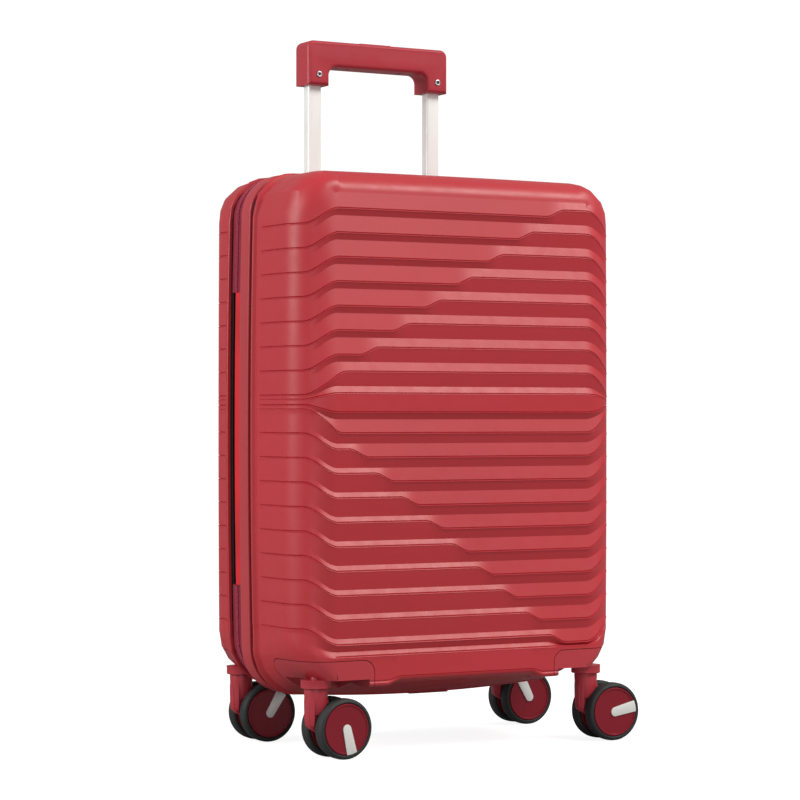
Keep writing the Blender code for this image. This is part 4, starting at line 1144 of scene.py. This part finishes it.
def build_pullers():
    for word, way in (("upper", 1), ("lower", -1)):
        low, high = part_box(f"zip_puller_{word}")
        y, x = (low.y + high.y) / 2, high.x - CASE_X
        start = low.z if way > 0 else high.z
        zs = sorted((start, start + way * 0.0110))
        slider = block((x - 0.0036, y - 0.0044, zs[0]), (x - 0.0008, y + 0.0044, zs[1]), 0.0012, 3)
        zs = sorted((start + way * 0.0050, start + way * 0.0380))
        merge(slider, block((x - 0.0011, y - 0.0031, zs[0]), (x, y + 0.0031, zs[1]), 0.0005, 2))
        obj = piece(f"puller_{word}", slider, f"puller_{word}", STEEL,
                    (f"zip_puller_{word}",), 35.0)
        middle = start + way * 0.0300
        cut(obj, block((x - 0.004, y - 0.0014, middle - 0.0035),
                       (x + 0.004, y + 0.0014, middle + 0.0035), 0.0010, 3,
                       lambda e: abs(e.verts[0].co.x - e.verts[1].co.x) > 0.005))


# ---- linings -----------------------------------------------------------------------------
LINING_INSET, HOUSING_CLEAR = 0.0066, 0.0968
FLOOR_Z = 0.305                     # the height that the cloth's loops shrink towards


def along_wall(fore, from_face):
    """How far along the shell's straight wall a depth lies, from 0 to 1."""
    return clamp((from_face - SIDE_ROUND) / (SHELLS[fore]["wall_end"] - SIDE_ROUND))


def lining_point(x, depth, z, fore):
    """Takes the cloth over the wheel housings and round the lock."""
    rear = fore == "rear"
    from_face = DEPTH - depth if rear else depth
    reach = HOUSING_Y[fore]
    over = ease(SIDE_X - HOUSING_X - 0.012, SIDE_X - HOUSING_X - 0.005, abs(x))
    over *= 1 - ease(reach + 0.004, reach + 0.010, from_face)
    highest, round_drop, wall_drop = (0.0765, 0.0070, 0.0050) if rear else (0.0790, 0.0078, 0.0130)
    under = highest - round_drop * clamp(from_face / SIDE_ROUND)
    under -= wall_drop * along_wall(fore, from_face)
    z = max(z, under, mix(under, HOUSING_CLEAR, over))
    if rear and x > 0.160:
        x = mix(x, min(x, 0.1680), 1 - ease(0.036, 0.044, abs(z - LOCK_Z)))
    return spot(x, depth, z)


def build_lining(fore):
    """A cloth skin fixed round the shell's mouth and stretched over its inside, with slight folds."""
    rear = fore == "rear"
    mouth, floor_depth, low = (0.1460, 0.1712, 0.0602) if rear else (0.0865, 0.0085, 0.0560)
    way = 1 if rear else -1
    round_x, round_y = (0.010, 0.008) if rear else (0.0352, 0.0325)
    start = floor_depth - way * round_y
    loops = [(LINING_INSET, mix(mouth, start, share), 1.0) for share in (0.0, 0.06, 0.3, 0.6, 0.85)]
    for step in range(9):
        angle = pi / 2 * step / 8
        loops.append((LINING_INSET + round_x * (1 - cos(angle)), start + way * round_y * sin(angle),
                      1.0))
    loops += [(loops[-1][0], floor_depth, 1 - step / 26) for step in range(1, 26)]
    corner, side = 10, 36
    bm = bmesh.new()
    number, fresh, ring = first_ring(bm, 4 * (corner + side))
    for index, (inset, depth, share) in enumerate(loops):
        points = []
        swell = mix(FACE_BOW, 1.0, along_wall(fore, DEPTH - depth if rear else depth))
        for x, z in outline(inset, low, [most * swell for most in BOW], corner, side):
            fold = (0.0009 * sin(share * (x * 70 + z * 25)) * sin(share * (z * 38 - x * 15))
                    * bulge(share))
            points.append(lining_point(x * share, depth - way * fold, mix(FLOOR_Z, z, share), fore))
        if index:
            fresh, ring = next_ring(bm, ring)
        for vert in fresh:
            vert.co = points[vert[number]]
    bmesh.ops.contextual_create(bm, geom=ring)
    outward(bm)
    area = sum(face.calc_area() for face in bm.faces)
    cloth_skin = piece(f"{fore}_lining_cloth", bm, fore, LINING,
                       (f"{fore}_lining",), 50.0)
    thickness = cloth_skin.modifiers.new("thickness", "SOLIDIFY")
    thickness.thickness, thickness.offset = 0.0008, 0.0


def finish_cad_nodes():
    """Gives the CAD nodes that stay in view their finishes."""
    for name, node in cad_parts.items():
        material = (STEEL if name.startswith("axle") else BLACK if name == "trolley_base"
                    else TUBE if name.startswith(("middle_tube", "outer_tube")) else None)
        if material:
            node.data.materials.clear()
            node.data.materials.append(material)


def main():
    build_shells()
    build_bands()
    build_bottom_tab()
    build_casters()
    build_trolley()
    build_carry_handle()
    build_lock()
    build_pullers()
    build_lining("front")
    build_lining("rear")
    finish_cad_nodes()


main()


# ---- stage, light and camera -------------------------------------------------------------
def build_stage():
    bm = bmesh.new()
    bmesh.ops.create_grid(bm, x_segments=2, y_segments=2, size=30.0)
    floor = add_object("floor", mesh_from("floor", bm))
    finish = Finish("pale_floor", 0.8, Specular_IOR_Level=0.1, Emission_Color=(1.0, 1.0, 1.0, 1.0))
    finish.tone((0.34, 0.34, 0.34), 0.01, 0.8)
    in_view = finish.node("ShaderNodeLightPath").outputs["Is Camera Ray"]
    finish.link(finish.spread(in_view, 0.0, 0.87, 0.0, 1.0), "Emission Strength")
    floor.data.materials.append(finish.material)


def lamp(name, place, target, size, power, colour=(1, 1, 1)):
    data = bpy.data.lights.new(name, "AREA")
    data.shape, data.energy, data.color = "RECTANGLE", power, colour
    data.size, data.size_y = size
    obj = add_object(name, data)
    obj.location = place
    obj.rotation_euler = (Vector(target) - Vector(place)).to_track_quat("-Z", "Y").to_euler()


def build_light():
    bpy.context.scene.view_settings.view_transform = "Standard"
    world = bpy.data.worlds.new("studio")
    world.use_nodes = True
    tree = world.node_tree
    tree.nodes["Background"].inputs["Color"].default_value = (1.0, 1.0, 1.0, 1.0)
    path, level = tree.nodes.new("ShaderNodeLightPath"), tree.nodes.new("ShaderNodeMapRange")
    level.inputs["To Min"].default_value, level.inputs["To Max"].default_value = 0.38, 1.05
    tree.links.new(path.outputs["Is Camera Ray"], level.inputs["Value"])
    tree.links.new(level.outputs["Result"], tree.nodes["Background"].inputs["Strength"])
    bpy.context.scene.world = world
    lamp("key", (1.5, -2.2, 2.9), (0.0, 0.0, 0.30), (3.0, 1.3), 136.0, (1.0, 0.965, 0.92))
    lamp("side", (-2.9, 0.45, 1.35), (-0.1, 0.0, 0.33), (0.9, 1.5), 62.0, (1.0, 0.98, 0.95))
    lamp("low", (-1.5, -2.9, 0.35), (0.0, 0.0, 0.12), (1.8, 0.5), 9.0)


def build_camera():
    data = bpy.data.cameras.new("camera")
    data.lens, data.sensor_width, data.shift_y = 117.69, 36.0, 0.0209
    camera = add_object("camera", data)
    camera.location = (-1.2972, -2.2356, 0.3196)
    camera.rotation_euler = (radians(90.0), 0.0, radians(-29.64))
    bpy.context.scene.camera = camera


build_stage()
build_light()
build_camera()
